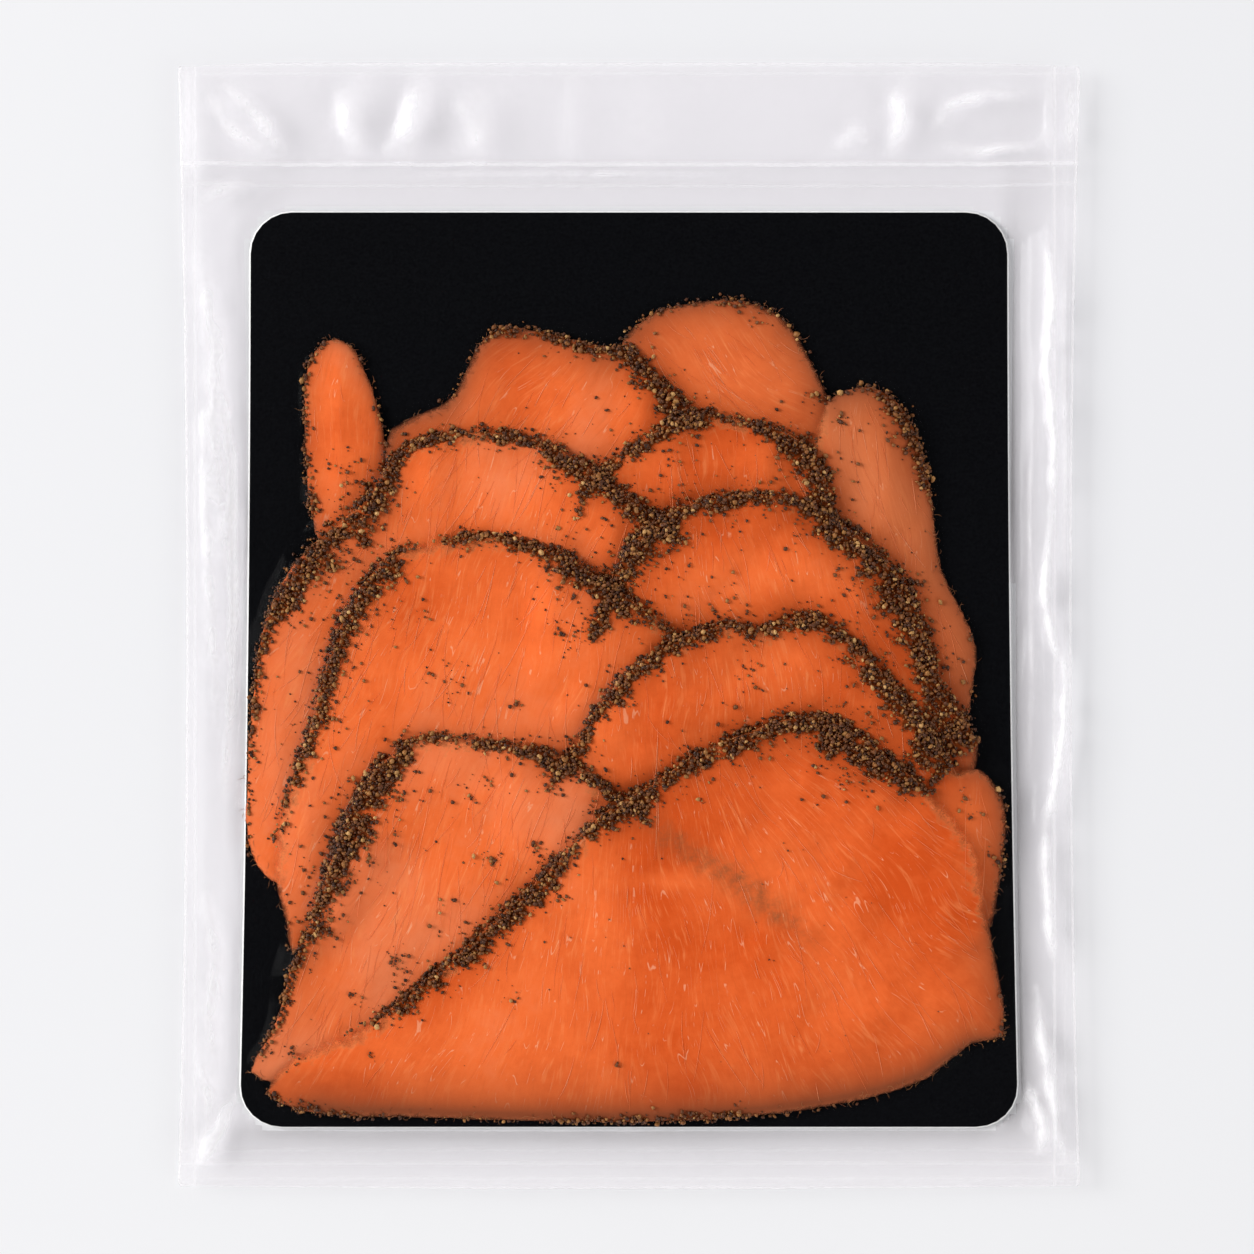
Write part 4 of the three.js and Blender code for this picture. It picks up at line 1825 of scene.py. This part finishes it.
class SmokedSalmonPack:
    """The whole pack: card, slices, pepper, strands and pouch."""

    def __init__(self) -> None:
        """Lists the slices from the back of the stack to the front."""
        self.slices: list[Slice] = [
            Slice("slice_finger", (-50, 260), -0.2, (Crust((
                (-82, 28, 3.0, 0.9), (-83.5, 52, 1.7, 0.6), (-83, 66, 1.7, 0.7), (-78.5, 73, 1.6, 0.7),
                (-74.5, 74, 1.0, 0.3), (-68, 66, 0.8, 0.15), (-62.5, 51, 1.4, 0.5), (-61.7, 42, 1.8, 0.6),
            )),), 10, fade=1.6, edge_shade=2.4),
            Slice("slice_crown", (-90, 190), 0.15, (Crust((
                (-3, 70, 1.2, 0.3), (5.5, 80.5, 1.5, 0.5), (18, 83.5, 2.0, 0.6), (29, 84, 2.5, 0.8),
                (39.5, 79.5, 1.4, 0.35), (46.5, 69, 1.0, 0.3), (51, 59.5, 1.0, 0.3), (55, 51, 2.0, 0.5),
            )),), 34, dull=0.2),
            Slice("slice_right_rim", (20, 230), -0.2, (Crust((
                (50, 56, 1.0, 0.1), (59, 61.5, 1.5, 0.35), (66, 59, 4.4, 0.9), (71, 55, 5.2, 1.0),
                (76, 43.5, 5.0, 1.0), (78, 36, 3.6, 0.8), (78.7, 29, 1.0, 0.2),
            )),), 44, fade=1.8, dull=0.6),
            Slice("slice_left_crown", (120, 260), 0.0, (Crust((
                (-61.5, 50.5, 0.8, 0.1), (-44, 61.5, 0.8, 0.15), (-40, 70.5, 1.2, 0.3),
                (-35, 75.5, 3.0, 0.8), (-31, 76.6, 4.0, 1.0), (-22.5, 76, 3.8, 1.0), (-7.5, 72, 3.8, 1.0),
                (1, 71, 4.6, 1.0), (6.5, 64.5, 7.0, 1.0), (12.5, 57, 6.4, 1.0), (19.5, 51, 4.5, 0.9),
            )),), 36, fade=3.2, lenses=((-48, 58, 14, 8, -0.3),)),
            Slice("slice_right_1", (-30, 230), 0.3, (Crust((
                (-14, 28, 3.0, 0.7), (-7.5, 39.5, 4.2, 1.0), (4, 48.5, 5.0, 1.0), (16.5, 54.5, 5.0, 1.0),
                (22, 54.3, 3.4, 0.9), (28.5, 53, 2.2, 0.7), (33, 52, 4.4, 0.9), (41, 49.5, 9.0, 1.0),
                (48, 43.5, 9.0, 1.0), (51.5, 33.5, 7.0, 1.0), (53, 22, 6.0, 0.9),
            )),), 34),
            Slice("slice_left_1", (60, 330), -0.2, (Crust((
                (-97.5, -60, 2.0, 0.4), (-98.5, -42, 2.4, 0.6), (-97, -19, 3.0, 0.85),
                (-95.5, -8, 3.2, 0.9), (-94, 0.5, 4.4, 0.9), (-91, 8, 8.0, 1.0), (-87, 15, 9.5, 1.0),
                (-76, 25.5, 10.5, 0.9), (-69, 32, 11.0, 0.85), (-63, 38, 5.5, 0.9), (-60, 44, 3.6, 0.9),
                (-52, 48.5, 3.8, 1.0), (-38, 50, 3.4, 1.0), (-25, 48.5, 3.7, 1.0), (-15, 44, 5.6, 1.0),
                (-4.5, 36.5, 7.0, 1.0), (6.5, 28.5, 6.4, 0.9), (14, 21, 4.0, 0.8),
            )),), 90, fade=1.6,
                lenses=((-40, 36, 22, 6, -0.25), (-15, 33, 14, 8, 0.5), (-92, -45, 6, 22, 0.1))),
            Slice("slice_right_2", (-40, 240), 0.4, (Crust((
                (-10, -3.5, 3.2, 0.8), (-5.5, 9, 5.5, 1.0), (-0.5, 20, 8.0, 1.0), (8, 28, 7.0, 1.0),
                (14, 30.6, 5.2, 1.0), (19.5, 32.5, 4.6, 1.0), (32, 34, 4.4, 1.0), (45, 32, 4.8, 1.0),
                (54.5, 26, 8.2, 1.0), (65, 18, 9.8, 1.0), (73, 7, 9.2, 1.0), (77, -6, 8.2, 1.0),
                (82.5, -19, 9.4, 1.0), (87, -26, 12.0, 0.95), (89.7, -30.5, 12.0, 0.9),
            )),), 60),
            Slice("slice_left_2", (70, 320), -0.1, (Crust((
                (-91.5, -57, 1.6, 0.3), (-90, -49.5, 2.5, 0.5), (-86.5, -39, 3.2, 0.7),
                (-82.5, -28, 5.0, 0.85), (-78.5, -16.5, 5.7, 1.0), (-76.5, -6, 5.7, 1.0),
                (-72, 4.5, 7.6, 1.0), (-67, 12, 8.0, 1.0), (-60, 18.8, 5.4, 0.9), (-56, 21, 2.2, 0.4),
                (-52.5, 21.8, 0.8, 0.1), (-49.5, 22.2, 1.0, 0.2), (-47, 22.5, 3.0, 1.0),
                (-35.5, 23.5, 3.4, 1.0), (-24, 21, 4.2, 1.0), (-18, 19, 7.0, 1.0), (-14, 17, 7.4, 1.0),
                (-5, 11, 7.6, 1.0), (3, 5.5, 6.0, 0.9), (8, 2, 4.4, 0.7), (15, -4, 3.0, 0.4),
            )),), 110,
                lenses=((-52, 6, 16, 12, 0.4), (-18, -2, 20, 12, 0.4), (-63, -22, 9, 12, 0.7))),
            Slice("slice_right_3", (-30, 260), 0.25, (Crust((
                (-20.5, -42, 2.8, 0.8), (-15.5, -33, 4.2, 1.0), (-9.5, -22, 4.7, 1.0),
                (-2, -13, 4.7, 1.0), (6.5, -6, 4.4, 1.0), (17, -1.5, 3.7, 1.0), (27, 1, 3.7, 1.0),
                (34.5, -0.5, 4.4, 1.0), (43.5, 3.5, 5.0, 1.0), (51.5, 1, 5.0, 1.0), (60, -6.5, 4.7, 1.0),
                (66, -13, 5.4, 1.0), (69, -16, 7.2, 1.0), (76.5, -26, 8.6, 1.0), (83, -36, 8.0, 1.0),
            )), Crust((
                (94, -41, 1.4, 0.25), (97, -50, 1.8, 0.4), (96, -62, 2.2, 0.5), (95, -69, 1.0, 0.2),
            ))), 54),
            Slice("slice_left_3", (80, 300), -0.3, (Crust((
                (-95, -110, 2.6, 0.6), (-93.5, -106.5, 3.2, 0.8), (-89.5, -98, 3.7, 0.85),
                (-87.5, -89, 3.7, 0.85), (-84, -81.5, 4.4, 0.9), (-80, -70, 7.0, 0.9),
                (-76, -58.5, 8.0, 1.0), (-72, -47.5, 10.0, 1.0), (-66, -38, 10.5, 1.0),
                (-62, -33.6, 7.2, 1.0), (-58.5, -30.5, 5.2, 1.0), (-51, -27.5, 3.2, 0.95),
                (-46, -27.8, 2.5, 0.8), (-39, -28.5, 3.4, 1.0), (-26.5, -30.5, 5.2, 1.0),
                (-16.5, -33, 5.0, 1.0), (-9.5, -37.6, 4.4, 1.0), (-3, -42.6, 4.2, 1.0),
                (6, -49, 3.0, 1.0),
            )),), 120, fade=1.6,
                lenses=((-58, -46, 18, 8, 0.4), (-44, -77, 16, 9, -0.2), (-84, -108, 10, 9, -0.4))),
            FrontSlice("slice_front", (-1, 10), 0.4, (Crust((
                (-73, -104, 1.0, 0.3), (-66, -100.6, 2.6, 0.8), (-58.5, -95.5, 4.4, 1.0),
                (-48, -86.5, 5.2, 1.0), (-38, -78, 7.0, 1.0), (-28, -69, 7.2, 1.0), (-20, -61, 6.2, 1.0),
                (-16, -57, 4.0, 0.85), (-9, -49.6, 4.2, 0.9), (-5, -46, 6.2, 1.0), (3, -41.5, 6.6, 1.0),
                (8, -38, 5.2, 1.0), (14.5, -34, 5.2, 1.0), (27, -28, 5.2, 1.0), (39.5, -23.5, 6.0, 1.0),
                (45, -22.6, 8.4, 1.0), (50, -23, 9.8, 1.0), (60, -28.5, 9.8, 1.0), (66, -33.4, 8.4, 1.0),
                (72, -38.4, 5.4, 0.9), (78, -43, 1.8, 0.6),
            )), Crust((
                (60, -122, 0.8, 0.1), (36, -125.5, 1.2, 0.25), (28, -126.2, 2.6, 0.8),
                (3, -127.5, 2.6, 0.75), (-19, -127.3, 2.4, 0.7), (-24, -127.2, 1.0, 0.2),
                (-60, -126, 1.0, 0.2), (-68, -125.3, 2.2, 0.7), (-80, -124.7, 2.6, 0.7),
                (-88, -122, 2.2, 0.5), (-93, -119, 2.2, 0.7),
            )), Crust((
                (95, -94, 0.5, 0.1), (96.5, -104.5, 2.2, 0.7), (92, -107, 1.4, 0.35),
            ))), 150, fade=1.8,
                lenses=((10, -65, 8, 2.6, -0.7), (75, -75, 22, 24, 0.1), (36, -48, 24, 10, 0.25),
                        (46, -100, 20, 12, 0.4),
                        (-28, -92, 30, 18, 0.3), (30, -82, 16, 12, 0.15))),
        ]
        self.pinches: tuple[tuple[float, float, float, int], ...] = (
            (-15, -3, 2.6, 12), (-12, 0, 3.4, 9), (-45, -15, 3.0, 12), (-28.5, -20, 0.7, 4),
            (-36, -40, 1.0, 5), (-41, -44, 1.8, 7), (-35.5, -60, 1.3, 9), (-24, -57, 1.2, 7),
            (-60, -86, 1.9, 12), (-70, -95, 1.0, 6), (-86, -111, 2.2, 11), (-66, -110, 0.8, 3),
            (30, -11, 1.3, 7), (32, -16, 1.0, 3), (18.5, -44.5, 0.5, 3), (54, -39, 1.7, 7),
            (-3.5, -112, 0.35, 2), (88.5, -46, 1.8, 7), (-82, -62, 1.6, 7), (14, 3, 3.6, 10),
            (24, 6.5, 3.6, 12), (-72, 40, 2.6, 14), (-66, 31, 2.6, 12), (47.5, 58, 1.3, 6),
            (34, 79, 2.0, 7), (87.5, -3, 0.35, 2), (-70, 22, 1.4, 5), (-52, 2, 1.0, 4), (0, -20, 1.4, 4),
            (62, -25, 1.6, 5), (-30, -96, 1.2, 4), (-88, -52, 1.6, 8), (94, -60, 1.6, 9),
            (-19, 37, 1.6, 6), (12, 40, 2.4, 6), (3, 14, 2.4, 8),
        )

    def build(self) -> None:
        """Builds every piece, from the card up to the pouch."""
        card = Outline.around("card")
        self.dress_card()
        mill = self.season(card)
        stains_and_shade = StainsAndShade(mill)
        finishes = (FleshFinish(), RimFinish())
        relief = Relief(122, 150)
        nodes = relief.nodes()
        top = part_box("card")[1].z / MM
        on_card = card.depth(nodes) > 0
        relief.heights = np.where(on_card, top, 0.0).reshape(relief.shape)
        for index, one in enumerate(self.slices):
            one.model()
            one.dress(finishes, self.slices[:index], stains_and_shade)
            relief.raise_to(Hands.places(one.piece))
        relief.mend()
        strands = Strands()
        strands.comb(self.slices)
        for index, one in enumerate(self.slices):
            strands.fringe(one, self.slices[:index], self.slices[index + 1:])
        strands.build(relief, StrandFinish())
        mill.build(relief, PepperFinish())
        Pouch(card, Outline.around("pouch")).build(relief, (FilmFinish(), TightFilmFinish()))

    def dress_card(self) -> None:
        """Gives the card its printed face and white cut edge."""
        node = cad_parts["card"]
        finish = CardFinish()
        if not node.material_slots:
            node.data.materials.append(finish.material)
        for slot in node.material_slots:
            slot.material = finish.material
        LOG.info("card: dressed")

    def season(self, card: Outline) -> PepperMill:
        """Lays the crusts and the loose grains.

        Args:
            card: The card's outline.

        Returns:
            The mill, with its grains strewn.
        """
        mill = PepperMill()
        for one in self.slices:
            for rim in one.rims:
                mill.coat(one.outline, rim)
        for x, y, spread, count in self.pinches:
            mill.pinch(x, y, spread, count)
            mill.pinch(x, y, spread * 1.3, count, Grain.DUST)
        mill.pinch(-48, -71, 1.8, 3, Grain.HEART)
        outlines = [one.outline for one in self.slices]
        mill.sprinkle(outlines, 0.006)
        mill.sweep(outlines, card)
        return mill


def corners(box: Sequence[Iterable[float]]) -> list[list[float]]:
    """A box's two corners as plain lists."""
    return [[float(value) for value in corner] for corner in box]


def main() -> None:
    """Builds the pack and its studio."""
    logging.basicConfig(level=logging.INFO, format="%(name)s %(message)s")
    Hands.clear()
    SmokedSalmonPack().build()
    Studio().build()
    {"cad": corners(CAD_BOX), "visual": corners(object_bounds())}


if __name__ == "__main__":
    main()
